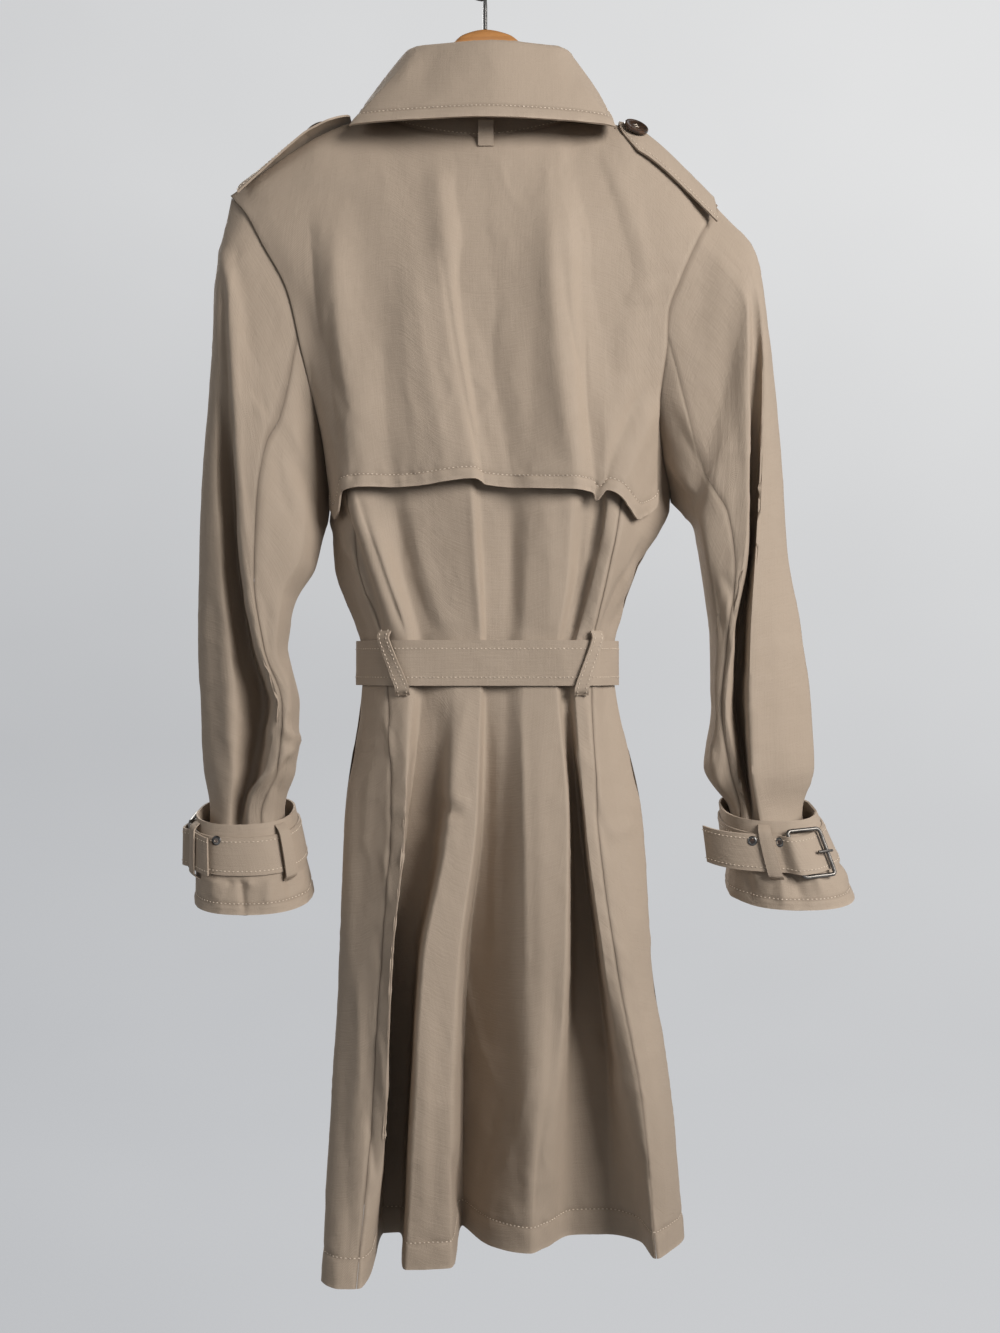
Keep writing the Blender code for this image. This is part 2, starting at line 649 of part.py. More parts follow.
def sleeve_columns():
    """Places round the sleeve that meet the body's rows at the armhole."""
    back = np.interp(ARM_ROWS[::-1], ARMHOLE_DROPS[SLEEVE_TOP_LINE::-1], range(SLEEVE_TOP_LINE, -1, -1))
    front = np.interp(ARM_ROWS[1:], (*ARMHOLE_DROPS[SLEEVE_TOP_LINE:], ARMHOLE_DROPS[0]),
                      range(SLEEVE_TOP_LINE, SLEEVE_LINES + 1))
    return np.r_[np.sort(back), front]


def columns_between(first, last):
    return np.linspace(first, last, 2 * (last - first) + 1)


def build_body(gabardine):
    across_l = columns_between(0, SEAM_L)
    across_c = columns_between(SEAM_L, SEAM_R)
    across_r = columns_between(SEAM_R, BACK_LAST)
    sewn = ("left", "right", "top")
    cloth("side_back_l", back_form, across_l, BODY_ROWS, False, gabardine, sewn)
    cloth("back_centre", back_form, across_c, BODY_ROWS, False, gabardine, sewn)
    cloth("side_back_r", back_form, across_r, BODY_ROWS, False, gabardine, sewn)
    rows = BODY_ROWS
    cloth("front_l", front_form(-1), FRONT_COLUMNS, rows, True, gabardine, ("left", "top"))
    cloth("front_r", front_form(1), FRONT_COLUMNS, rows, False, gabardine, ("left", "top"))


def build_sleeves(gabardine):
    columns = sleeve_columns()
    top = columns[(columns >= SLEEVE_SEAM_BACK) & (columns <= SLEEVE_SEAM_FRONT)]
    under = np.r_[columns[columns >= SLEEVE_SEAM_FRONT],
                  columns[(columns > 0) & (columns <= SLEEVE_SEAM_BACK)] + SLEEVE_LINES]
    for side, letter in ((-1, "l"), (1, "r")):
        form = sleeve_form(side)
        sewn = ("left", "right", "top")
        cloth("top_sleeve_" + letter, form, top, SLEEVE_ROWS, side < 0, gabardine, sewn)
        cloth("under_sleeve_" + letter, form, under, SLEEVE_ROWS, side < 0, gabardine, sewn)


def sample(form, across, down):
    """Places of a form where both the line and the drop change from point to point."""
    grid = np.empty((*across.shape, 3))
    for row in range(len(across)):
        block = form(across[row], down[row])
        grid[row] = block[np.arange(len(block)), np.arange(len(block))]
    return grid


def sampled_normals(form, across, down, flip):
    along = sample(form, across + 0.04, down) - sample(form, across - 0.04, down)
    fall = sample(form, across, down + 1.0) - sample(form, across, down - 1.0)
    direction = np.cross(fall, along)
    return unit(-direction if flip else direction)


def laid_on(name, form, across, down, flip, out, material, edges=()):
    """A wall that lies on a form, its inner face 'out' from it."""
    outward = sampled_normals(form, across, down, flip)
    surface = sample(form, across, down)
    out = np.asarray(out, float)
    out = out[..., None] if out.ndim else out
    outer = inset(surface + outward * (out + WALL), SEAM_GAP, edges)
    inner = inset(surface + outward * out, SEAM_GAP, edges)
    return wall(name, outer, inner, material)


def build_storm_flap(gabardine):
    lines = columns_between(0, BACK_LAST)
    hem = smooth(FLAP_HEM_LINE, FLAP_HEM_DROP, lines)[:, 0]
    rows = np.array(FLAP_ROWS, float)[:, None]
    free = np.clip((rows - FLAP_FREE_DROP) / (rows[-1] - FLAP_FREE_DROP), 0, 1)
    down = rows + free * (hem - rows[-1])
    middle = lines[-1] / 2
    across = middle + (lines - middle) * (1 - free * FLAP_EDGE_IN / middle)
    share = (rows - rows[0]) / (rows[-1] - rows[0])
    edge = np.minimum(lines, lines[-1] - lines) / 3
    edge = FLAP_EDGE_SHARE + (1 - FLAP_EDGE_SHARE) * np.clip(edge, 0, 1)
    lift = FLAP_LIFT_TOP + FLAP_LIFT_HEM * share ** 2 * edge
    laid_on("storm_flap", back_form, across, down, False, lift, gabardine, ("left", "right", "top"))


def build_lapels(gabardine):
    for side, letter in ((-1, "l"), (1, "r")):
        rows = np.array(LAPEL_ROWS, float)
        share = np.linspace(0, 1, 6)
        width = smooth((rows[0], 300, rows[-1]), (1.5, 2.4, 0.5), rows)
        across = 5.97 - width * (1 - share)
        down = np.broadcast_to(rows[:, None], across.shape)
        lift = 0.85 + 2.0 * (1 - share) * (rows[:, None] - rows[0]) / 200
        laid_on("lapel_" + letter, front_form(side), across, down, side < 0, lift, gabardine, ("top",))


def build_pockets(gabardine):
    for side, letter in ((-1, "l"), (1, "r")):
        down, across = np.meshgrid(np.array(POCKET_ROWS, float), POCKET_LINES, indexing="ij")
        laid_on("pocket_welt_" + letter, front_form(side), across, down, side < 0, 0.7, gabardine)


# ---------------------------------------------------------------- collar
def neck_edge(place):
    """Places round the neckline: 0 to 2 left front, 2 to 6 back, 6 to 8 right front."""
    place = np.asarray(place, float)
    top = float(STATIONS["top"])
    back = back_form(np.interp(place, (2, 6), (NECK_LINE_L, NECK_LINE_R)), [top])[0]
    drops_l = top + (NECK_FRONT_DROP - top) * np.clip(1 - place / 2, 0, 1)
    drops_r = top + (NECK_FRONT_DROP - top) * np.clip(place / 2 - 3, 0, 1)
    front_l = front_lines(-1, drops_l)[-1]
    front_r = front_lines(1, drops_r)[-1]
    edge = np.where((place < 2)[:, None], front_l, back)
    return np.where((place > 6)[:, None], front_r, edge)


def grid_normals(grid):
    down, across = np.gradient(grid, axis=0), np.gradient(grid, axis=1)
    return unit(np.cross(down, across))


def build_collar(gabardine):
    place = np.linspace(0, 8, COLLAR_COLUMNS)
    rows = np.array(COLLAR, float)
    top = smooth(range(9), rows[:, 0], place)
    low = smooth(range(9), rows[:, 1], place)
    up = np.array([0, 0, 1.0])
    base = neck_edge(place) + up * 4 * SEAM_GAP
    base += unit((top.mean(axis=0) - base) * (1, 1, 0)) * STAND_SET_IN
    stand = np.array([top + (base - top) * share for share in (0, 0.33, 0.67, 1)])
    inner = stand - grid_normals(stand) * WALL
    inner[-1, :, 2] = base[:, 2]
    wall("collar_stand", stand, inner, gabardine)
    away = unit((low - top) * (1, 1, 0))
    lean = unit(top - stand[1])
    roll = COLLAR_ROLL
    profile = [top - away * WALL + lean * 4 * SEAM_GAP,
               top + away * (0.25 * roll - WALL) + lean * (0.8 * roll),
               top + away * (1.2 * roll) + lean * (1.25 * roll),
               top + away * (2.6 * roll) + lean * (0.6 * roll)]
    for share in (0.4, 0.75, 1.0):
        bow = COLLAR_BOW * math.sin(math.pi * share)
        start = profile[3]
        profile.append(start + share * (low - start) + away * bow)
    fall = np.array(profile)
    outward = grid_normals(fall)
    wall("collar_fall", fall, fall - outward * WALL, gabardine)


def build_locker_loop(gabardine):
    centre = neck_edge(np.array([4.0]))[0] + (-1.5, -WALL - 4.2, 0)
    width = np.linspace(-6.5, 6.5, 3)
    heights = np.array([12, 4, -4, -9])
    stand_off = np.array([2.4, 0.8, 0.2, 0.0])
    grid = np.array([[centre + (x, -o - 0.8, h) for x in width] for h, o in zip(heights, stand_off)])
    wall("locker_loop", grid, grid + (0, 1.2, 0), gabardine)


# ---------------------------------------------------------------- epaulets and buttons
def epaulet_form(side):
    armhole_x, point_x, end_rise, rise, end_fall, fall, tilt = EPAULETS["l" if side < 0 else "r"]

    def form(along, across):
        x = armhole_x + along * (point_x - armhole_x)
        seam = seam_height(x, 0 * x)
        lift = smooth((0, 0.12, 0.55, 1), (end_rise, 0.6 * rise + 0.4 * end_rise, rise, end_rise), along)
        narrow = np.clip((1 - along) / (1 - EPAULET_POINT), 0, 1) ** 0.5
        half = EPAULET_HALF_WIDTH * (0.45 + 0.55 * narrow)
        y = across[:, None] * half
        share = y / EPAULET_HALF_WIDTH
        drop = smooth((0, 0.6), (end_fall, fall), along)[:, 0]
        z = seam + lift[:, 0] - drop * np.abs(share) ** 1.8 - tilt * share
        return np.stack([x + 0 * y, y, z], axis=-1)
    return form


def place_button(name, point, outward, material):
    """A button with a raised rim, its back just above a point of the cloth."""
    bm = bmesh.new()
    bmesh.ops.create_cone(bm, cap_ends=True, segments=14, radius1=BUTTON_RADIUS * MM,
                          radius2=BUTTON_RADIUS * MM, depth=BUTTON_HEIGHT * MM)
    top = max(bm.faces, key=lambda face: face.calc_center_median().z)
    bmesh.ops.inset_region(bm, faces=[top], thickness=BUTTON_RIM * MM, depth=0.0)
    bmesh.ops.translate(bm, verts=top.verts, vec=(0, 0, -0.9 * MM))
    turn = Vector((0, 0, 1)).rotation_difference(Vector(outward))
    centre = np.asarray(point) + np.asarray(outward) * (BUTTON_GAP + BUTTON_HEIGHT / 2)
    button = finish_mesh(name, bm, material, 30)
    button.matrix_world = Matrix.Translation(Vector(centre) * MM) @ turn.to_matrix().to_4x4()
    return button


def build_epaulets(gabardine, horn):
    along = np.array([0, 0.12, 0.25, 0.4, 0.55, 0.7, 0.82, 0.9, 0.96, 1.0])
    across = np.linspace(-1, 1, 7)
    for side, letter in ((-1, "l"), (1, "r")):
        form = epaulet_form(side)
        grid = form(along, across)
        outward = grid_normals(grid)
        outward *= np.sign(outward[3, 3, 2])
        wall("epaulet_" + letter, grid, grid - outward * WALL, gabardine)
        along_to, across_to = EPAULET_BUTTONS[letter]
        spot = form(np.array([along_to, along_to + 0.02]), across_to + np.array([-0.12, 0.0, 0.12]))
        up = unit(np.cross(spot[1, 1] - spot[1, 0], spot[2, 0] - spot[0, 0]))
        up = up * np.sign(up[2])
        place_button("epaulet_button_" + letter, spot[1, 0], up, horn)


def build_front_buttons(horn):
    form = front_form(1)
    count = 0
    for drop in FRONT_BUTTON_DROPS:
        lines = np.linspace(0, 6, 241)
        row = form(lines, [float(drop)])[0]
        for x in FRONT_BUTTON_X:
            count += 1
            line = np.interp(x, row[::-1, 0], lines[::-1])
            spot = form(np.array([line]), [float(drop)])[0, 0]
            outward = normals(form, np.array([line]), np.array([float(drop)]), False)[0, 0]
            place_button(f"front_button_{count}", spot, outward, horn)


# ---------------------------------------------------------------- belt
def outline_round(points, spacing):
    """Convex outline round points in plan, smoothed and evenly spaced, with its outward directions."""
    ordered = sorted(map(tuple, points))

    def half(sequence):
        chain = []
        for point in sequence:
            while len(chain) > 1 and np.cross(np.subtract(chain[-1], chain[-2]),
                                              np.subtract(point, chain[-1])) <= 0:
                chain.pop()
            chain.append(point)
        return chain[:-1]
    hull = np.array(half(ordered) + half(ordered[::-1]))
    closed = np.vstack([hull, hull[:1]])
    length = np.r_[0, np.cumsum(np.linalg.norm(np.diff(closed, axis=0), axis=1))]
    count = int(length[-1] / spacing)
    at = np.linspace(0, length[-1], count, endpoint=False)
    ring = np.stack([np.interp(at, length, closed[:, k]) for k in (0, 1)], axis=-1)
    tangent = np.roll(ring, -2, axis=0) - np.roll(ring, 2, axis=0)
    outward = unit(np.stack([tangent[:, 1], -tangent[:, 0]], axis=-1))
    return ring, outward, length[-1] / count


def waist_outline():
    rows = np.linspace(BELT_TOP - 4, BELT_BOTTOM + 4, 7)
    forms = (back_form, front_form(-1), front_form(1))
    points = [form(np.linspace(0, last, 120), rows)[..., :2].reshape(-1, 2)
              for form, last in zip(forms, LAST_LINES)]
    return outline_round(np.vstack(points), 4.0)


def belt_path(start, travel, out):
    """Places along the belt's outline for travel in mm from the start index, moved out."""
    ring, outward, step = waist_outline()
    index = start + np.asarray(travel) / step
    low = np.floor(index).astype(int)
    part = (index - low)[:, None]
    a, b = low % len(ring), (low + 1) % len(ring)
    base = ring[a] + part * (ring[b] - ring[a])
    direction = unit(outward[a] + part * (outward[b] - outward[a]))
    return base + direction * np.asarray(out)[:, None], direction


def band(name, path, direction, low, high, material):
    """A flat strap that stands on edge along a plan path, between two heights."""
    heights = np.linspace(high, low, 3)
    outer = np.array([np.column_stack([path + direction * WALL, path[:, 0] * 0 + z])
                      for z in heights])
    inner = np.array([np.column_stack([path, path[:, 0] * 0 + z]) for z in heights])
    return wall(name, outer, inner, material)


def rounded_frame(name, centre, along, up, half_length, half_height, wire, material):
    """A closed rectangular frame of round wire."""
    points = []
    radius = 2 * wire
    for corner, (sx, sy) in enumerate(((1, 1), (-1, 1), (-1, -1), (1, -1))):
        for step in range(3):
            angle = math.radians(90 * corner + 45 * step)
            x = sx * (half_length - radius) + radius * math.cos(angle)
            y = sy * (half_height - radius) + radius * math.sin(angle)
            points.append(np.asarray(centre) + np.asarray(along) * x + np.asarray(up) * y)
    curve = bpy.data.curves.new(name, "CURVE")
    curve.dimensions = "3D"
    spline = curve.splines.new("POLY")
    spline.points.add(len(points) - 1)
    for target, point in zip(spline.points, points):
        target.co = (*(Vector(point) * MM), 1)
    spline.use_cyclic_u = True
    curve.bevel_depth = wire * MM
    curve.bevel_resolution = 1
    curve.use_fill_caps = False
    curve.materials.append(material)
    item = bpy.data.objects.new(name, curve)
    bpy.data.collections[COLLECTION].objects.link(item)
    return item


def rod(name, start, end, wire, material):
    """A straight round pin."""
    start, end = Vector(start) * MM, Vector(end) * MM
    bm = bmesh.new()
    bmesh.ops.create_cone(bm, cap_ends=True, segments=10, radius1=wire * MM, radius2=wire * MM,
                          depth=(end - start).length)
    item = finish_mesh(name, bm, material, 30)
    turn = Vector((0, 0, 1)).rotation_difference(end - start)
    item.matrix_world = Matrix.Translation((start + end) / 2) @ turn.to_matrix().to_4x4()
    return item


def build_belt(gabardine, metal):
    ring, _, step = waist_outline()
    length = step * len(ring)
    start = int(np.argmin(np.abs(ring[:, 0]) + 1000 * (ring[:, 1] < 0)))
    travel = np.arange(0, length + BELT_TAIL, BELT_PITCH)
    high = BELT_GAP + 2 * WALL + BELT_RISE
    rest = BELT_GAP + WALL + BELT_LAYER_GAP
    # The belt goes once round, rises through the buckle's frame, then lies on itself to its tip.
    out = smooth((0, length - 22, length + 4, length + 14, length + 45, length + BELT_TAIL + BELT_PITCH),
                 (BELT_GAP, BELT_GAP, high * 0.8, high, rest, rest), travel)[:, 0]
    path, direction = belt_path(start, travel, out)
    band("belt", path, direction, -BELT_BOTTOM, -BELT_TOP, gabardine)
    centre_2d, normal_2d = belt_path(start, [length + 0.0], [BELT_GAP + WALL + BUCKLE_LIE + BUCKLE_WIRE])
    middle = np.array([*centre_2d[0], -(BELT_TOP + BELT_BOTTOM) / 2])
    along = np.array([-normal_2d[0, 1], normal_2d[0, 0], 0])
    up = np.array([0, 0, 1.0])
    half = BELT_WIDTH / 2 + BUCKLE_WIRE + BUCKLE_MARGIN
    rounded_frame("belt_buckle", middle, along, up, BUCKLE_HALF_LENGTH, half, BUCKLE_WIRE, metal)
    bar_top = BELT_GAP + WALL + BUCKLE_LIE + 2 * BUCKLE_WIRE + SEAM_GAP + PRONG_WIRE
    pin, _ = belt_path(start, [length - BUCKLE_HALF_LENGTH - 3, length - 3], [bar_top, bar_top + 2.5])
    ends = np.column_stack([pin, middle[2] + 0 * pin[:, 0]])
    rod("belt_prong", ends[0], ends[1], PRONG_WIRE, metal)


def reach(place, direction, height, half_width):
    """How far the body reaches in a plan direction near a place, at one height."""
    side = np.array([-direction[1], direction[0]])
    forms = (back_form, front_form(-1), front_form(1))
    rows = [form(np.linspace(0, last, 200), [-height])[0, :, :2] for form, last in zip(forms, LAST_LINES)]
    offset = np.vstack(rows) - place
    near = np.abs(offset @ side) < half_width
    return (offset @ direction)[near].max()


def build_belt_loops(gabardine):
    ring, outward, _ = waist_outline()
    over = BELT_GAP + WALL + BELT_LAYER_GAP
    top, bottom = -BELT_TOP, -BELT_BOTTOM
    for letter, (top_x, bottom_x) in BELT_LOOPS.items():
        rows = []
        for z, out in ((top + BELT_LOOP_REACH, None), (top + 2, over), (bottom - 2, over),
                       (bottom - BELT_LOOP_REACH, None)):
            x = bottom_x + (top_x - bottom_x) * (z - bottom) / BELT_WIDTH
            index = int(np.argmin(np.abs(ring[:, 0] - x) + 1000 * (ring[:, 1] > 0)))
            centre, direction = ring[index], outward[index]
            side = np.array([-direction[1], direction[0]])
            if out is None:
                out = reach(centre, direction, z, BELT_LOOP_WIDTH) + 0.6
            rows.append([[*(centre + side * w + direction * out), z]
                         for w in (-BELT_LOOP_WIDTH / 2, 0, BELT_LOOP_WIDTH / 2)])
        grid = np.array(rows)
        push = np.r_[direction, 0] * WALL
        wall("belt_loop_" + letter, grid + push, grid, gabardine)


# ---------------------------------------------------------------- cuffs
def build_strap_loops(side, letter, gabardine):
    over = STRAP_GAP + 2 * STRAP_THICKNESS + STRAP_LAYER_GAP + 0.5
    path = ((STRAP_TOP - 0.1, SEAM_GAP), (STRAP_TOP - 0.03, over), (STRAP_BOTTOM + 0.03, over),
            (STRAP_BOTTOM + 0.1, SEAM_GAP))
    half = STRAP_LOOP_WIDTH / 2 / CUFF_DEGREE
    for number, bearing in enumerate(STRAP_LOOP_BEARINGS[letter], 1):
        bearings = bearing + np.array([-half, 0, half])
        inner = np.array([strap_path(side, bearings, share, out) for share, out in path])
        outer = np.array([strap_path(side, bearings, share, out + STRAP_LOOP_THICKNESS)
                          for share, out in path])
        wall(f"cuff_loop_{letter}{number}", outer, inner, gabardine)


def build_cuffs(gabardine, metal):
    angle = np.linspace(0, 2 * math.pi, 26, endpoint=False)
    for side, letter in ((-1, "l"), (1, "r")):
        rows = (0, 0.5, 1.0)
        outer = np.array([cuff_point(side, angle, row, 0.0) for row in rows])
        inner = np.array([cuff_point(side, angle, row, -WALL) for row in rows])
        wall("cuff_" + letter, outer, inner, gabardine, wrap=True)
        build_strap(side, letter, gabardine, metal)
        build_strap_loops(side, letter, gabardine)


def strap_path(side, bearing, share, out):
    return cuff_point(side, np.radians(bearing), share, out)


def build_strap(side, letter, gabardine, metal):
    buckle, way, tail, tip_off = STRAPS[letter]
    turns = 360 + tail / CUFF_DEGREE
    travel = np.r_[np.linspace(5, 330, 24), np.linspace(340, turns, 16)]
    bearing = buckle + way * travel
    gap = STRAP_GAP
    high = gap + 2 * STRAP_THICKNESS + STRAP_RISE
    rest = gap + STRAP_THICKNESS + STRAP_LAYER_GAP
    # The strap goes once round, rises through the buckle's frame, then lies on itself to its tip.
    out = smooth((0, 336, 368, 378, 390, 403, turns),
                 (gap, gap, high * 0.8, high, rest, rest, rest + tip_off), travel)[:, 0]
    rows = np.linspace(STRAP_TOP, STRAP_BOTTOM, 3)
    outer = np.array([strap_path(side, bearing, row, out + STRAP_THICKNESS) for row in rows])
    inner = np.array([strap_path(side, bearing, row, out) for row in rows])
    wall("cuff_strap_" + letter, outer, inner, gabardine)
    centre_share = (STRAP_TOP + STRAP_BOTTOM) / 2
    wire = STRAP_BUCKLE_WIRE
    lie = gap + STRAP_THICKNESS + wire + SEAM_GAP
    top, centre, bottom = (strap_path(side, np.array([buckle]), row, lie)[0]
                           for row in (STRAP_TOP, centre_share, STRAP_BOTTOM))
    beside = strap_path(side, np.array([buckle - 2, buckle + 2]), centre_share, 0.0)
    along, up = unit(beside[1] - beside[0]), unit(top - bottom)
    half = np.linalg.norm(top - bottom) / 2 + wire + STRAP_BUCKLE_MARGIN
    rounded_frame("cuff_buckle_" + letter, centre, along, up, STRAP_BUCKLE_HALF_LENGTH, half, wire, metal)
    off = np.cross(along, up)
    off = off * np.sign(np.dot(off[:2], centre[:2] - np.array(CUFFS[letter][0][:2])))
    on_bar = wire + SEAM_GAP + PRONG_WIRE
    tip = centre - way * along * (STRAP_BUCKLE_HALF_LENGTH + 3) + off * on_bar
    root = centre - way * along * 4 + off * (on_bar + 1.8)
    rod("cuff_prong_" + letter, tip, root, PRONG_WIRE, metal)


# ---------------------------------------------------------------- hanger
def build_hanger(wood):
    rows = np.array(HANGER, float)
    fine_x = np.linspace(rows[0, 0], rows[-1, 0], 26)
    columns = smooth(rows[:, 0], rows[:, 1:], fine_x)
    angle = np.linspace(0, 2 * math.pi, 10, endpoint=False)
    bm = bmesh.new()
    rings = []
    for x, (top, height, thickness) in zip(fine_x, columns):
        ring = []
        for a in angle:
            c, s = math.cos(a), math.sin(a)
            size = (abs(c) ** HANGER_SQUARENESS + abs(s) ** HANGER_SQUARENESS) ** (-1 / HANGER_SQUARENESS)
            point = Vector((x, thickness / 2 * c * size, top + height / 2 * (s * size - 1)))
            ring.append(bm.verts.new(point * MM))
        rings.append(ring)
    for first, second in zip(rings, rings[1:]):
        for j in range(len(angle)):
            k = (j + 1) % len(angle)
            bm.faces.new((first[j], first[k], second[k], second[j]))
    bm.faces.new(rings[0])
    bm.faces.new(rings[-1])
    finish_mesh("hanger", bm, wood)


def build_hook(steel):
    centre = -HOOK_RADIUS + HOOK_WIRE
    points = [(0, HANGER_CROWN + SEAM_GAP), (0, centre - HOOK_RADIUS - 6)]
    for degrees in range(-90, -421, -22):
        angle = math.radians(degrees)
        points.append((HOOK_RADIUS * math.cos(angle), centre + HOOK_RADIUS * math.sin(angle)))
    curve = bpy.data.curves.new("hanger_hook", "CURVE")
    curve.dimensions = "3D"
    spline = curve.splines.new("POLY")
    spline.points.add(len(points) - 1)
    for target, (x, z) in zip(spline.points, points):
        target.co = (x * MM, 0, z * MM, 1)
    curve.bevel_depth = HOOK_WIRE * MM
    curve.bevel_resolution = 1
    curve.use_fill_caps = True
    curve.materials.append(steel)
    item = bpy.data.objects.new("hanger_hook", curve)
    bpy.data.collections[COLLECTION].objects.link(item)


def main():
    for item in list(bpy.data.objects):
        bpy.data.objects.remove(item, do_unlink=True)
    collection = bpy.data.collections.new(COLLECTION)
    bpy.context.scene.collection.children.link(collection)
    gabardine = material("gabardine", (0.42, 0.35, 0.28), 0.72)
    horn = material("dark_horn", (0.06, 0.035, 0.02), 0.3)
    metal = material("gunmetal", (0.09, 0.085, 0.08), 0.28, 1.0)
    wood = material("beech", (0.55, 0.3, 0.12), 0.45)
    steel = material("dark_steel", (0.12, 0.12, 0.12), 0.3, 1.0)
    build_body(gabardine)
    build_sleeves(gabardine)
    build_storm_flap(gabardine)
    build_lapels(gabardine)
    build_pockets(gabardine)
    build_collar(gabardine)
    build_locker_loop(gabardine)
    build_epaulets(gabardine, horn)
    build_front_buttons(horn)
    build_belt(gabardine, metal)
    build_belt_loops(gabardine)
    build_cuffs(gabardine, metal)
    build_hanger(wood)
    build_hook(steel)


main()
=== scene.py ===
"""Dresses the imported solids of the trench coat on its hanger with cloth, sewing, horn, metal and wood.

Lengths are in millimetres until a mesh is made; the frame is the solids' own, +Z up, +Y the wearer's front.
"""

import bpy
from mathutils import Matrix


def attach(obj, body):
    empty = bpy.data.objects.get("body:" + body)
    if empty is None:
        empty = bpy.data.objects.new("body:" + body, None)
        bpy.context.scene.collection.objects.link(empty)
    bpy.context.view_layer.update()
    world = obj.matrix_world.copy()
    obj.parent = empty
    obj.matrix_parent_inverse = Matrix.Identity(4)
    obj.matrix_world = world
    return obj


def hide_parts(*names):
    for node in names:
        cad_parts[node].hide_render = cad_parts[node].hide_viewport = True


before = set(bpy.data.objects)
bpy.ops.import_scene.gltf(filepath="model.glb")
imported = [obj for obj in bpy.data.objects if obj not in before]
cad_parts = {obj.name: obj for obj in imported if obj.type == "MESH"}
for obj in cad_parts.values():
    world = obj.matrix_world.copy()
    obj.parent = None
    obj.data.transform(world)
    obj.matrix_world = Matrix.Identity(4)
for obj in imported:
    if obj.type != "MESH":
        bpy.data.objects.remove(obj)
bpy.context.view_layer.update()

import math

import bmesh
import bpy
import numpy as np
from bpy.props import FloatProperty, FloatVectorProperty, PointerProperty
from mathutils import Matrix, Vector, noise

bl_info = {
    "name": "Trench coat on a hanger",
    "version": (1, 0, 0),
    "blender": (4, 5, 0),
    "location": "View3D > Sidebar > Coat",
    "description": "Builds the cloth, sewing, buttons, buckles and hanger of a trench coat",
    "category": "Object",
}

BODY = "root"
# Sign of X on each side of the coat, and the letter in the names of its pieces.
SIDES = ((-1, "l"), (1, "r"))

MM = 0.001
# Further than any place on the coat, where the nearest one is looked for.
FAR = 1000.0
WALL = 1.6
SEAM_GAP = 0.3
SEAM_BEVEL = 0.8
SHOULDER_BEVEL = 3.3

# Widths in the tables are measured on the sight plane, as they look from this point.
VIEW_X = 13.0
VIEW_Y = -1180.0
VIEW_Z = -630.0
SIGHT_PLANE_Y = -30.0

HEM_DROP = 1115.0
# Height of each turned hem, from its edge up to its row of stitches.
COAT_HEM = 22.0
FLAP_HEM = 10.5
FALL_HEM = 11.5
CUFF_HEM = 9.0
BELT_TOP = 608.0
BELT_BOTTOM = 646.0
UNDERARM_DROP = 486.0

# Drop below the hook of each station down the body.
STATIONS = dict(top=200, yoke=212, blade=300, armpit=420, flap=480, low=545, belt=626, hip=760,
                thigh=871, knee=985, hem=HEM_DROP)
# Across the back, left to right: place of each fold line on the sight plane at the stations above.
BACK_WIDTH = dict(
    # line      top  yoke blade armpit flap  low  belt   hip thigh  knee   hem
    side_l=   (-215, -212, -177, -143, -131, -127, -103, -119, -123, -131, -139),
    face_l=   (-190, -188, -160, -131, -125, -118, -95, -98, -106, -113, -123),
    seam_l=   (-160, -159, -145, -122, -118, -107, -84, -80, -89, -96, -109),
    edge_l=   (-140, -140, -130, -112, -110, -87, -65, -68, -79, -84, -97),
    recess_l= (-119, -119, -103, -95, -80, -70, -52, -65, -77, -82, -87),
    rise_l=   (-94, -94, -78, -70, -63, -54, -42, -42, -60, -67, -73),
    crest_l=  (-60, -60, -52, -42, -38, -32, -23, -30, -52, -59, -67),
    edge_c=   (-30, -30, -30, -16, -13, -9, -4, -8, -23, -29, -29),
    recess_c= (-5, -5, -20, -7, -3, 0, 2, -1, -13, -18, -19),
    slope_c=  (10, 10, 10, 15, 21, 20, 17, 16, 10, 11, 6),
    crest_r=  (30, 30, 40, 45, 42, 38, 34, 36, 39, 44, 38),
    edge_r=   (60, 60, 70, 72, 72, 70, 60, 70, 68, 61, 51),
    recess_r= (82, 82, 82, 82, 86, 81, 66, 75, 77, 75, 75),
    floor_r=  (100, 100, 95, 90, 94, 87, 71, 80, 93, 104, 104),
    fold_r=   (118, 118, 112, 101, 106, 94, 77, 86, 102, 117, 132),
    seam_r=   (140, 139, 130, 115, 117, 106, 91, 97, 112, 134, 146),
    face_r=   (168, 166, 150, 132, 133, 120, 100, 113, 125, 145, 156),
    side_r=   (197, 194, 170, 149, 149, 130, 109, 134, 141, 158, 169),
)
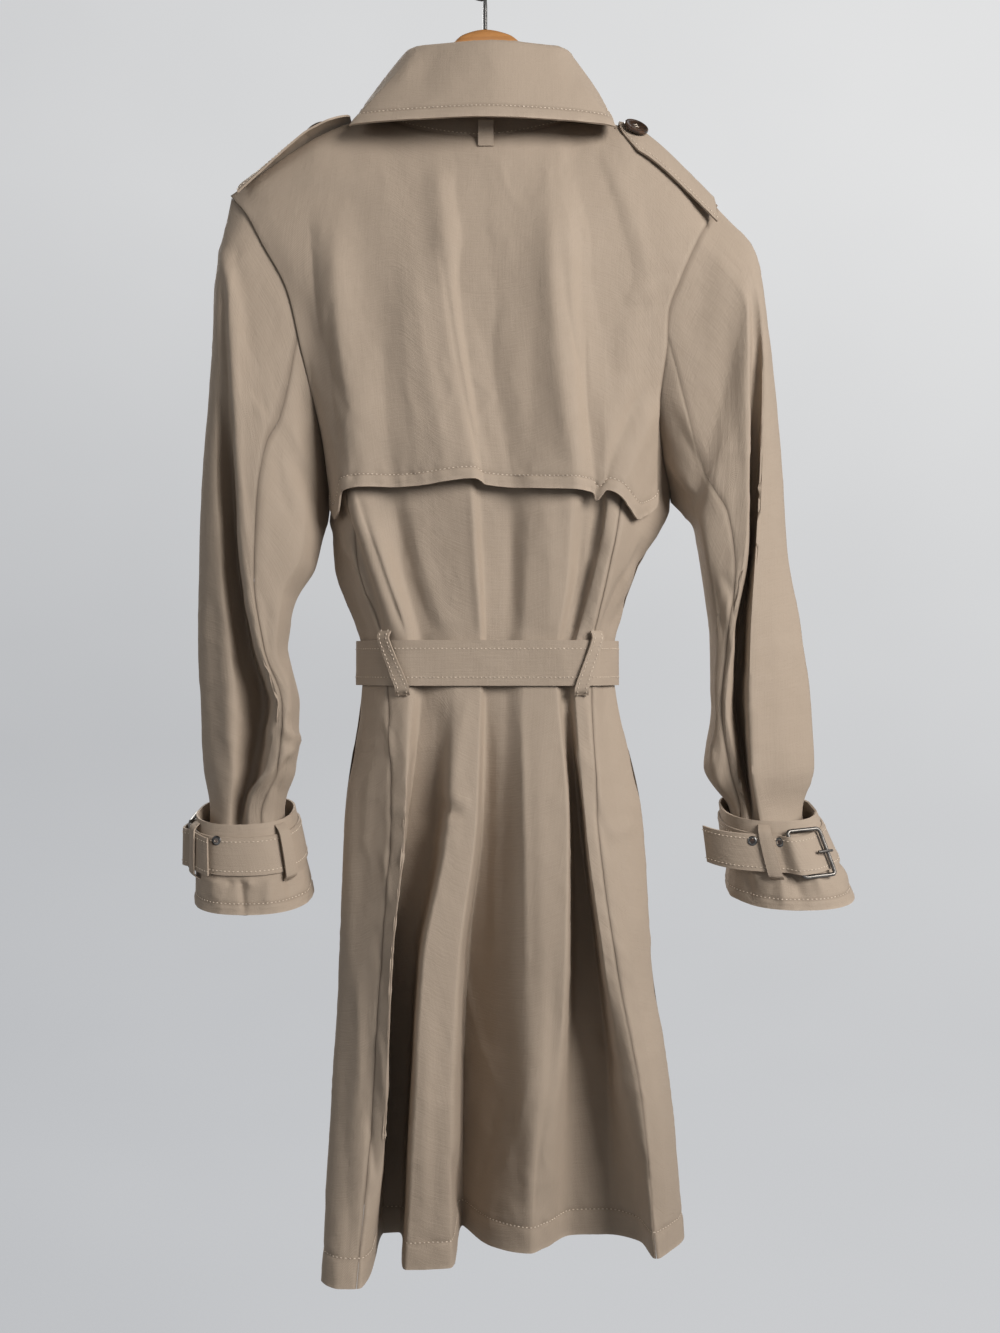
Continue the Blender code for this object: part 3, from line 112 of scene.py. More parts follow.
# Depth of the same lines: nearer the viewer is more negative.
BACK_DEPTH = dict(
    side_l=   (2, -10, -29, -20, 4, 0, -8, -25, -45, -75, -108),
    face_l=   (0, -14, -35, -36, -24, -20, -28, -50, -70, -100, -126),
    seam_l=   (-1, -15, -38, -43, -42, -38, -42, -64, -84, -106, -126),
    edge_l=   (-2, -16, -39, -47, -50, -54, -50, -72, -94, -112, -100),
    recess_l= (-1, -15, -42, -50, -46, -42, -44, -36, -26, -18, -22),
    rise_l=   (-2, -15, -46, -52, -49, -47, -47, -38, -27, -19, -20),
    crest_l=  (-17, -23, -48, -53, -52, -50, -50, -70, -92, -104, -92),
    edge_c=   (-24, -28, -50, -54, -54, -53, -50, -69, -90, -100, -88),
    recess_c= (-26, -30, -48, -51, -49, -45, -45, -38, -26, -14, -6),
    slope_c=  (-26, -30, -48, -51, -47, -43, -45, -46, -48, -50, -48),
    crest_r=  (-24, -28, -50, -54, -52, -50, -50, -66, -76, -80, -62),
    edge_r=   (-16, -22, -52, -56, -54, -51, -50, -68, -80, -73, -50),
    recess_r= (-2, -15, -46, -50, -46, -41, -45, -38, -27, -36, -25),
    floor_r=  (-1, -15, -43, -47, -44, -41, -44, -34, -20, -31, -24),
    fold_r=   (-2, -16, -40, -46, -48, -51, -49, -68, -80, -64, -38),
    seam_r=   (-1, -15, -38, -43, -44, -49, -46, -66, -80, -84, -72),
    face_r=   (0, -14, -35, -36, -28, -26, -30, -54, -70, -74, -60),
    side_r=   (2, -10, -29, -20, 4, 0, -8, -28, -42, -44, -26),
)
SEAM_L = 2
SEAM_R = 15
# Height of the shoulder seams and of the back neckline, on the sight plane.
TOP_EDGE_X = (-215, -119, -94, -50, -5, 40, 82, 115, 197)
TOP_EDGE_Z = (-231, -172, -166, -176, -181, -176, -167, -173, -239)

# The armholes: place on the sight plane, and depth of the back and front edges.
ARMHOLE_L = (
    # x     z     back front
    (-215, -231, 2, 2),
    (-202, -252, -18, 22),
    (-188, -280, -27, 36),
    (-167, -320, -32, 45),
    (-157, -362, -33, 48),
    (-145, -409, -26, 44),
    (-137, -450, -12, 34),
    (-131, -486, 8, 8),
)
ARMHOLE_R = (
    (197, -239, 2, 2),
    (180, -278, -26, 34),
    (166, -310, -32, 44),
    (156, -339, -33, 47),
    (155, -363, -33, 48),
    (148, -409, -26, 44),
    (151, -450, -12, 34),
    (158, -486, 8, 8),
)

# Depth across the front, by share of the half width from the centre, at the stations above.
FRONT_PLACE = (0.0, 0.38, 0.72, 0.94)
FRONT_DEPTH = dict(
    #        top yoke blade armpit flap low belt hip thigh knee hem
    centre=(4, 14, 50, 58, 58, 54, 47, 56, 61, 63, 64),
    middle=(2, 14, 52, 56, 54, 50, 45, 52, 55, 57, 58),
    outer= (2, 14, 50, 52, 48, 44, 40, 48, 54, 58, 60),
    turn=  (2, 12, 44, 36, 28, 24, 18, 18, 18, 14, 8),
)
# Lines of one front, as a share of the way from its side to its front edge.
FRONT_SHARE = (0.0, 0.06, 0.2, 0.4, 0.6, 0.8, 1.0)
FRONT_EDGE_L = (-96, -88, -10, 78, 84, 84, 84, 84, 84, 84, 84)
FRONT_EDGE_R = (84, 76, 8, -80, -85, -85, -85, -85, -85, -85, -85)
# How far the right front stands off the left one where they overlap, and where that starts.
FRONT_OVERLAP = (0, 0, 5, 7, 7, 7, 7, 7, 7, 7, 7)
OVERLAP_FULL_X = 88.0
OVERLAP_NONE_X = 116.0

# Sleeve rings: drop at the outer and inner edge, then place (sight plane) and depth of each line.
# Lines run from the inner edge over the back face, the ridge and the deep fold to the outer edge.
SLEEVE_WIDTH_L = (
    # outer inner |  in  inback seam ridge valley roll  out
    (275, 505, -134, -150, -174, -216, -220, -223, -225),
    (345, 520, -138, -152, -186, -213, -218, -227, -232),
    (430, 545, -144, -156, -194, -209, -214, -228, -237),
    (520, 575, -161, -172, -196, -202, -209, -225, -241),
    (600, 615, -170, -176, -187, -191, -199, -219, -243),
    (660, 662, -158, -164, -172, -177, -188, -214, -241),
    (715, 715, -160, -166, -176, -187, -197, -215, -239),
    (757, 757, -170, -178, -190, -200, -207, -217, -233),
)
SLEEVE_DEPTH_L = (
    # in inback seam ridge valley roll out  front
    (2, -28, -40, -38, -32, -26, -4, 36),
    (-2, -36, -46, -46, -32, -32, -6, 32),
    (-8, -40, -50, -50, -20, -34, -8, 26),
    (-14, -44, -52, -53, -14, -36, -8, 22),
    (-22, -46, -52, -54, -10, -36, -8, 20),
    (-26, -48, -54, -56, -8, -38, -8, 20),
    (-24, -46, -52, -52, -16, -38, -8, 20),
    (-14, -38, -44, -46, -26, -36, -10, 18),
)
SLEEVE_WIDTH_R = (
    (275, 500, 171, 176, 186, 222, 226, 229, 231),
    (345, 510, 178, 183, 195, 224, 229, 236, 241),
    (430, 530, 182, 188, 207, 224, 228, 234, 250),
    (520, 560, 186, 193, 213, 220, 224, 230, 257),
    (600, 610, 192, 197, 206, 211, 216, 226, 269),
    (660, 662, 192, 195, 201, 205, 213, 225, 277),
    (715, 715, 186, 193, 208, 214, 220, 227, 280),
    (757, 757, 209, 212, 217, 222, 227, 234, 270),
)
SLEEVE_DEPTH_R = (
    (-2, -28, -38, -38, -32, -28, -4, 36),
    (-8, -38, -46, -46, -32, -36, -6, 32),
    (-14, -42, -50, -50, -20, -40, -10, 26),
    (-20, -42, -50, -51, -14, -44, -14, 22),
    (-26, -42, -48, -50, -12, -48, -16, 20),
    (-26, -40, -44, -46, -10, -52, -18, 20),
    (-20, -34, -38, -40, -16, -53, -18, 20),
    (-12, -26, -33, -36, -32, -44, -16, 18),
)
SLEEVE_SEAM_BACK = 2
SLEEVE_SEAM_FRONT = 8
SLEEVE_LINES = 10
SLEEVE_TOP_LINE = 6
SLEEVE_ROW_STEP = 0.075
SLEEVE_LINE_STEP = 0.1
# Drop at which each sleeve line starts from the armhole.
ARMHOLE_DROPS = (486, 395, 350, 257, 240, 223, 200, 240, 350, 440)

# Cuffs: true centre and half sizes of the top rim and of the hem.
CUFFS = dict(
    #   rim x  y    z  half_x half_y | hem x  y   z  half_x half_y
    l=((-205, -16, -753, 41, 43), (-197, -20, -826, 49, 50)),
    r=((242, -18, -750, 40, 43), (262, -20, -822, 52, 51)),
)
CUFF_TILT = 8.0
CUFF_SQUARENESS = 2.4
CUFF_COLUMNS = 180
CUFF_ROWS = 34
# The rows of a cuff that lie under its strap, and the share of the creases that they keep.
UNDER_STRAP = slice(4, 21)
UNDER_STRAP_SHARE = 0.1

# Drop of the storm flap's hem along the back's lines, and how far the flap stands off the back.
FLAP_HEM_LINE = (0, 0.6, 1.2, 2, 3, 5, 7, 8, 10, 12, 13, 13.7, 14.3, 15.3, 16.2, 16.7, 17)
FLAP_HEM_DROP = (492, 504, 500, 483, 481, 480, 475, 479, 482, 484, 487, 492, 484, 492, 505, 500, 490)
FLAP_ROWS = (200, 490)
FLAP_STEP = 4.4
FLAP_EASE = 60
FLAP_FREE_DROP = 395
FLAP_LIFT_TOP = 0.6
FLAP_LIFT_HEM = 9.0
FLAP_EDGE_SHARE = 0.3
FLAP_EDGE_IN = 0.6

# Collar: places round the neck, from the left front over the back to the right front.
COLLAR = (
    # top of the stand | lower edge of the fall
    ((-40, 50, -196), (-72, 70, -245)),
    ((-60, 30, -124), (-110, 42, -197)),
    ((-60, 6, -94), (-109, 2, -150)),
    ((-43, -13, -98), (-115, -32, -171)),
    ((2, -19, -99), (2, -56, -173)),
    ((47, -13, -98), (112, -32, -173)),
    ((65, 6, -94), (110, 2, -151)),
    ((62, 30, -124), (110, 42, -197)),
    ((34, 50, -196), (62, 70, -245)),
)
COLLAR_COLUMNS = 145
STAND_ROWS = 12
FALL_ROWS = 42
NECK_LINE_L = 5
NECK_LINE_R = 12
NECK_FRONT_DROP = 232
COLLAR_ROLL = 3.5
COLLAR_BOW = 2.5
STAND_SET_IN = 0.8

# Epaulets: x at the armhole and at the pointed end, rise over the seam there, rise in the middle,
# how far the long edges fall at the armhole and further in, and how far the back one is tilted up.
EPAULETS = dict(
    l=(-212, -117, 5.0, 5.5, 15.0, 3.5, 1.0),
    r=(199, 117, 6.5, 8.5, 20.0, 20.0, -9.0),
)
EPAULET_HALF_WIDTH = 23.0
EPAULET_POINT = 0.82
EPAULET_COLUMNS = 70
EPAULET_ROWS = 26
# Where each epaulet's button stands: share of its length from the armhole, share of its half width.
EPAULET_BUTTONS = dict(l=(0.7, 0.0), r=(0.84, -0.35))

BUTTON_RADIUS = 11.0
BUTTON_HEIGHT = 3.6
BUTTON_GAP = 0.8
# From the middle to each of the four holes along X and Y, and half the thickness of a strand.
HOLE = 1.7
STRAND = 0.24
FRONT_BUTTON_X = (58.0, -58.0)
FRONT_BUTTON_DROPS = (445, 535, 715, 810)
POCKET_ROWS = (725, 890)
POCKET_LINES = (0.5, 1.5)
LAPEL_ROWS = (223, 416)

BELT_GAP = 1.0
BELT_ROWS = 16
BELT_WIDTH = BELT_BOTTOM - BELT_TOP
BELT_TAIL = 95.0
BELT_PITCH = 9.0
BELT_RISE = 5.2
BELT_LAYER_GAP = 1.5
# Past the belt's own start: it leaves the body, climbs, crosses the bar and lies on the layer below.
BELT_STEPS = (-22, 4, 14, 45)
BUCKLE_LIE = 0.6
BELT_LOOP_WIDTH = 12.0
BELT_LOOP_REACH = 8.0
# Where each belt loop crosses the belt's top and bottom edge.
BELT_LOOPS = dict(l=(-81, -70), r=(90, 82))
BUCKLE_WIRE = 2.0
BUCKLE_HALF_LENGTH = 17.0
BUCKLE_MARGIN = 2.5
PRONG_WIRE = 1.1

STRAP_COLUMNS = 230
STRAP_ROWS = 12
STRAP_TOP = 0.14
STRAP_BOTTOM = 0.56
STRAP_THICKNESS = 1.6
STRAP_GAP = 0.5
STRAP_LAYER_GAP = 0.8
STRAP_RISE = 5.72
# The same steps on a cuff strap, in degrees from its buckle.
STRAP_STEPS = (0, 336, 368, 378, 390, 403)
STRAP_BUCKLE_WIRE = 1.7
STRAP_BUCKLE_MARGIN = 2.0
# Length along the cuff of one degree round it.
CUFF_DEGREE = 0.82
STRAP_BUCKLE_HALF_LENGTH = 15.0
# Cuff straps: bearing of the buckle, way the tail points, its length past the buckle, how far its tip
# stands off.
STRAPS = dict(l=(180.0, 1, 50.0, 3.0), r=(-66.0, -1, 78.0, 17.0))
STRAP_LOOP_BEARINGS = dict(l=(-145.0, -42.0), r=(-106.0, 100.0))
STRAP_LOOP_WIDTH = 10.0
STRAP_LOOP_THICKNESS = 1.3

# Hanger arms: x, top, height and thickness of each section.
HANGER = (
    (-205, -217, 15, 11), (-180, -199, 17, 12), (-160, -185, 19, 12), (-140, -174, 22, 13),
    (-120, -167, 25, 13), (-104, -166, 29, 13), (-88, -163, 34, 13), (-62, -136, 40, 14), (-34, -94, 44, 14),
    (-18, -79, 46, 14), (0, -75, 46, 14), (20, -79, 46, 14), (38, -95, 44, 14), (62, -139, 40, 14),
    (74, -161, 36, 13), (88, -166, 34, 13), (104, -167, 29, 13), (120, -169, 25, 13), (140, -179, 22, 13),
    (160, -196, 19, 12), (184, -220, 15, 10),
)
HANGER_SQUARENESS = 2.6
HANGER_CROWN = -75.0
HANGER_SECTIONS = 150
HANGER_ROUND = 36
HOOK_WIRE = 1.9
HOOK_RADIUS = 25.0
HOOK_NECK = 6


# ---------- smooth curves and grids
def smooth(knots, values, at):
    """Monotone cubic through the knots: it never swings past a value."""
    knots = np.asarray(knots, float)
    values = np.asarray(values, float).reshape(len(knots), -1)
    step = np.diff(knots)[:, None]
    rise = np.diff(values, axis=0) / step
    slope = np.zeros_like(values)
    slope[0], slope[-1] = rise[0], rise[-1]
    before, after = step[:-1], step[1:]
    same_way = rise[:-1] * rise[1:] > 0
    safe_before = np.where(same_way, rise[:-1], 1.0)
    safe_after = np.where(same_way, rise[1:], 1.0)
    weight_a, weight_b = 2 * after + before, after + 2 * before
    blended = (weight_a + weight_b) / (weight_a / safe_before + weight_b / safe_after)
    slope[1:-1] = np.where(same_way, blended, 0.0)
    at = np.clip(np.asarray(at, float), knots[0], knots[-1])
    left = np.clip(np.searchsorted(knots, at, side="right") - 1, 0, len(knots) - 2)
    width = step[left, 0]
    u = ((at - knots[left]) / width)[:, None]
    width = width[:, None]
    start, end = values[left], values[left + 1]
    return ((1 + 2 * u) * (1 - u) ** 2 * start + u * (1 - u) ** 2 * width * slope[left]
            + u * u * (3 - 2 * u) * end + u * u * (u - 1) * width * slope[left + 1])


def section(points, before, after, at):
    """Curve through the points, found by line number; ghosts before and after give its end slopes."""
    every = np.array([*before, *points, *after])
    length = np.r_[0, np.cumsum(np.linalg.norm(np.diff(every, axis=0), axis=1) + 1e-6)]
    own = length[len(before):len(before) + len(points)]
    place = np.interp(at, np.arange(len(points)), own)
    return smooth(length, every, place)


def from_sight_plane(seen, depth, centre):
    """True place of what lies at this depth and looks to be at 'seen' on the sight plane."""
    return centre + (seen - centre) * (depth - VIEW_Y) / (SIGHT_PLANE_Y - VIEW_Y)


def unit(vectors):
    length = np.linalg.norm(vectors, axis=-1, keepdims=True)
    return vectors / np.maximum(length, 1e-9)


def normals(surface, across, down):
    """Outward directions of a surface at a grid of places."""
    small_across, small_down = 0.04, 1.0
    along = surface(across + small_across, down) - surface(across - small_across, down)
    fall = surface(across, down + small_down) - surface(across, down - small_down)
    return unit(np.cross(fall, along))


# ---------- the body's form
def table_column(table, name):
    return np.array(table[name], float)


STATION_DROPS = np.array(list(STATIONS.values()), float)
BACK_LAST = len(BACK_WIDTH) - 1
FRONT_LAST = len(FRONT_SHARE) - 1


def drop_to_height(top_z, drop):
    """Height of a place at this drop on a line that starts at top_z."""
    return smooth((STATIONS["top"], STATIONS["blade"], STATIONS["armpit"], HEM_DROP),
                  (top_z, -STATIONS["blade"], -STATIONS["armpit"], -HEM_DROP), drop)[:, 0]


def shoulder_height(seen_x):
    return smooth(TOP_EDGE_X, TOP_EDGE_Z, np.atleast_1d(seen_x))[:, 0]


def seam_height(x, depth):
    """True height of the shoulder seam above a true place."""
    seen = VIEW_X + (x - VIEW_X) * (SIGHT_PLANE_Y - VIEW_Y) / (depth - VIEW_Y)
    return from_sight_plane(shoulder_height(seen), depth, VIEW_Z)


def armhole_rows(side):
    """True x, back depth, front depth and height down an armhole."""
    rows = np.array(ARMHOLE_L if side < 0 else ARMHOLE_R, float)
    middle = (rows[:, 2] + rows[:, 3]) / 2
    back_x = from_sight_plane(rows[:, 0], rows[:, 2], VIEW_X)
    height = from_sight_plane(rows[:, 1], middle * 0, VIEW_Z)
    height[-1] = -UNDERARM_DROP
    return back_x, rows[:, 2], rows[:, 3], height


def armhole_drops(side):
    """Drop on the body's grid of each row of the armhole table."""
    height = armhole_rows(side)[3]
    drops = np.linspace(STATIONS["top"], UNDERARM_DROP, 300)
    heights = drop_to_height(height[0], drops)
    return np.interp(-height, -heights, drops)


def side_line(side, drop, front):
    """The armhole's edge, then the side seam, at these drops."""
    name = "side_l" if side < 0 else "side_r"
    back_x, back_y, front_y, height = armhole_rows(side)
    arm_drop = armhole_drops(side)
    arm_y = front_y if front else back_y
    below = STATION_DROPS > UNDERARM_DROP + 20
    depth = table_column(BACK_DEPTH, name)[below]
    place = from_sight_plane(table_column(BACK_WIDTH, name)[below], depth, VIEW_X)
    knots = np.r_[arm_drop, STATION_DROPS[below]]
    x = smooth(knots, np.r_[back_x, place], drop)[:, 0]
    seam_y = smooth(knots, np.r_[back_y, depth], drop)[:, 0]
    arm_y = smooth(arm_drop, arm_y, drop)[:, 0]
    y = np.where(np.asarray(drop) > arm_drop[-1], seam_y, arm_y)
    return np.stack([x, y, drop_to_height(height[0], drop)], axis=-1)


def back_line(name, drop):
    seen = table_column(BACK_WIDTH, name)
    depth = table_column(BACK_DEPTH, name)
    x = smooth(STATION_DROPS, from_sight_plane(seen, depth, VIEW_X), drop)[:, 0]
    y = smooth(STATION_DROPS, depth, drop)[:, 0]
    top = from_sight_plane(shoulder_height(seen[0])[0], depth[0], VIEW_Z)
    return np.stack([x, y, drop_to_height(top, drop)], axis=-1)


def front_lines(side, drop):
    """Lines of one front from the side to its front edge, at these drops."""
    drop = np.r_[STATIONS["top"], drop]
    start = side_line(side, drop, True)
    edge_x = smooth(STATION_DROPS, FRONT_EDGE_L if side < 0 else FRONT_EDGE_R, drop)[:, 0]
    overlap = smooth(STATION_DROPS, FRONT_OVERLAP, drop)[:, 0] * (side > 0)
    depths = [smooth(STATION_DROPS, row, drop)[:, 0] for row in FRONT_DEPTH.values()]
    far_side = side_line(-side, drop, True)
    lines = [start]
    for share in FRONT_SHARE[1:]:
        x = start[:, 0] + share * (edge_x - start[:, 0])
        near = np.where(x * side > 0, 1, 0)[:, None]
        limit = near * start + (1 - near) * far_side
        columns = zip(x / limit[:, 0], *depths, limit[:, 1])
        y = np.array([smooth((*FRONT_PLACE, 1.0), row[1:], [row[0]])[0, 0] for row in columns])
        covered = np.clip((OVERLAP_NONE_X - x) / (OVERLAP_NONE_X - OVERLAP_FULL_X), 0, 1)
        y = y + overlap * covered * covered * (3 - 2 * covered)
        top = seam_height(x[0], y[0])[0]
        lines.append(np.stack([x, y, drop_to_height(top, drop)], axis=-1))
    return [line[1:] for line in lines]


def joined_section(points, before, after, across, drop):
    """A row of the body: free beside the armholes, and below them led on by the panels beside it."""
    free = section(points, [], [], across)
    share = np.clip((drop - UNDERARM_DROP + 10) / 20, 0, 1)
    if share > 0:
        free = free + share * (section(points, before, after, across) - free)
    return free


def back_form(across, down):
    """Places on the back: across counts the fold lines, down is the drop."""
    lines = [side_line(-1, down, False)]
    lines += [back_line(name, down) for name in list(BACK_WIDTH)[1:-1]]
    lines += [side_line(1, down, False)]
    left = front_lines(-1, down)
    right = front_lines(1, down)
    grid = np.empty((len(down), len(across), 3))
    for row in range(len(down)):
        points = np.array([line[row] for line in lines])
        before, after = [left[2][row], left[1][row]], [right[1][row], right[2][row]]
        grid[row] = joined_section(points, before, after, across, down[row])
    return grid


def front_form(side):
    """A front as a form of line number (0 side to 6 front edge) and drop."""
    face = "face_l" if side < 0 else "face_r"
    seam = "seam_l" if side < 0 else "seam_r"

    def form(across, down):
        lines = front_lines(side, down)
        near = back_line(face, down)
        far = back_line(seam, down)
        grid = np.empty((len(down), len(across), 3))
        for row in range(len(down)):
            points = np.array([line[row] for line in lines])
            grid[row] = joined_section(points, [far[row], near[row]], [], across, down[row])
        return grid
    return form


def body_forms():
    """The forms of the back and the fronts, each with the number of its last line."""
    return (back_form, BACK_LAST), (front_form(-1), FRONT_LAST), (front_form(1), FRONT_LAST)


# ---------- the sleeves' form
def armhole_edge(side, across):
    """Places on the armhole for these places round the sleeve's first ring."""
    across = np.mod(across, SLEEVE_LINES)
    drop = np.interp(across, np.arange(SLEEVE_LINES + 1), (*ARMHOLE_DROPS, ARMHOLE_DROPS[0]))
    in_front = (across > SLEEVE_TOP_LINE)[:, None]
    return np.where(in_front, side_line(side, drop, True), side_line(side, drop, False))


def sleeve_rings(side):
    """Control rings of a sleeve, armhole to hem: each has seven back lines and three front ones."""
    widths = SLEEVE_WIDTH_L if side < 0 else SLEEVE_WIDTH_R
    depths = SLEEVE_DEPTH_L if side < 0 else SLEEVE_DEPTH_R
    rings = [armhole_edge(side, np.arange(SLEEVE_LINES))]
    for width, depth in zip(widths, depths):
        outer_drop, inner_drop = width[:2]
        seen = np.array(width[2:], float)
        y = np.array(depth[:7], float)
        x = from_sight_plane(seen, y, VIEW_X)
        front_x = x[6] + np.array([0.14, 0.5, 0.86]) * (x[0] - x[6])
        front_y = depth[7] - np.array([6.0, 0.0, 6.0])
        x = np.r_[x, front_x]
        y = np.r_[y, front_y]
        share = (x - x[6]) / (x[0] - x[6])
        z = -(outer_drop + share * (inner_drop - outer_drop))
        rings.append(np.stack([x, y, z], axis=-1))
    rings.append(cuff_ring(side, 1.0, -WALL - 0.9, rings[-1]))
    return np.array(rings)


def cuff_point(side, angle, share, out):
    """Place on a cuff: angle about its axis, share of the way from rim to hem, moved out."""
    rim, hem = (np.array(row, float) for row in CUFFS["l" if side < 0 else "r"])
    centre = rim + share * (hem - rim)
    half_x, half_y = centre[3] + out, centre[4] + out
    c, s = np.cos(angle), np.sin(angle)
    size = (np.abs(c) ** CUFF_SQUARENESS + np.abs(s) ** CUFF_SQUARENESS) ** (-1 / CUFF_SQUARENESS)
    x = centre[0] + half_x * c * size
    y = centre[1] + half_y * s * size
    z = centre[2] + CUFF_TILT * (y - centre[1]) / centre[4] + 0 * x
    return np.stack([x, y, z], axis=-1)


def cuff_ring(side, share, out, like):
    """The cuff's ring with points at the same bearings as the ring 'like'."""
    rim = CUFFS["l" if side < 0 else "r"][0]
    angle = np.arctan2(like[:, 1] - rim[1], like[:, 0] - rim[0])
    return cuff_point(side, angle, share, out)


def sleeve_form(side):
    """A sleeve as a form of line number (0 inner edge, 6 outer edge, 10 inner edge again) and ring."""
    rings = sleeve_rings(side)

    def form(across, down):
        columns = smooth(np.arange(len(rings)), rings.reshape(len(rings), -1), np.r_[0, down])
        columns = columns.reshape(len(down) + 1, -1, 3)
        grid = np.empty((len(down) + 1, len(across), 3))
        for row, ring in enumerate(columns):
            loop = np.vstack([ring, ring[:1]])
            grid[row] = section(loop, ring[-2:], ring[1:3], np.mod(across, SLEEVE_LINES))
        to_edge = armhole_edge(side, across) - grid[0]
        near_edge = np.clip(1 - down, 0, 1)[:, None, None] ** 2
        return grid[1:] + near_edge * to_edge
    return form


def neck_edge(place):
    """Places round the neckline: 0 to 2 left front, 2 to 6 back, 6 to 8 right front."""
    place = np.asarray(place, float)
    top = float(STATIONS["top"])
    back = back_form(np.interp(place, (2, 6), (NECK_LINE_L, NECK_LINE_R)), [top])[0]
    drops_l = top + (NECK_FRONT_DROP - top) * np.clip(1 - place / 2, 0, 1)
    drops_r = top + (NECK_FRONT_DROP - top) * np.clip(place / 2 - 3, 0, 1)
    front_l = front_lines(-1, drops_l)[-1]
    front_r = front_lines(1, drops_r)[-1]
    edge = np.where((place < 2)[:, None], front_l, back)
    return np.where((place > 6)[:, None], front_r, edge)


# ---------- fine grids and their creases
# Places in the crease tables are counted in squares of the sight plane from the view's top left.
SQUARE = 0.85
SIGHT_COLUMNS = 1000
SIGHT_ROWS = 1333

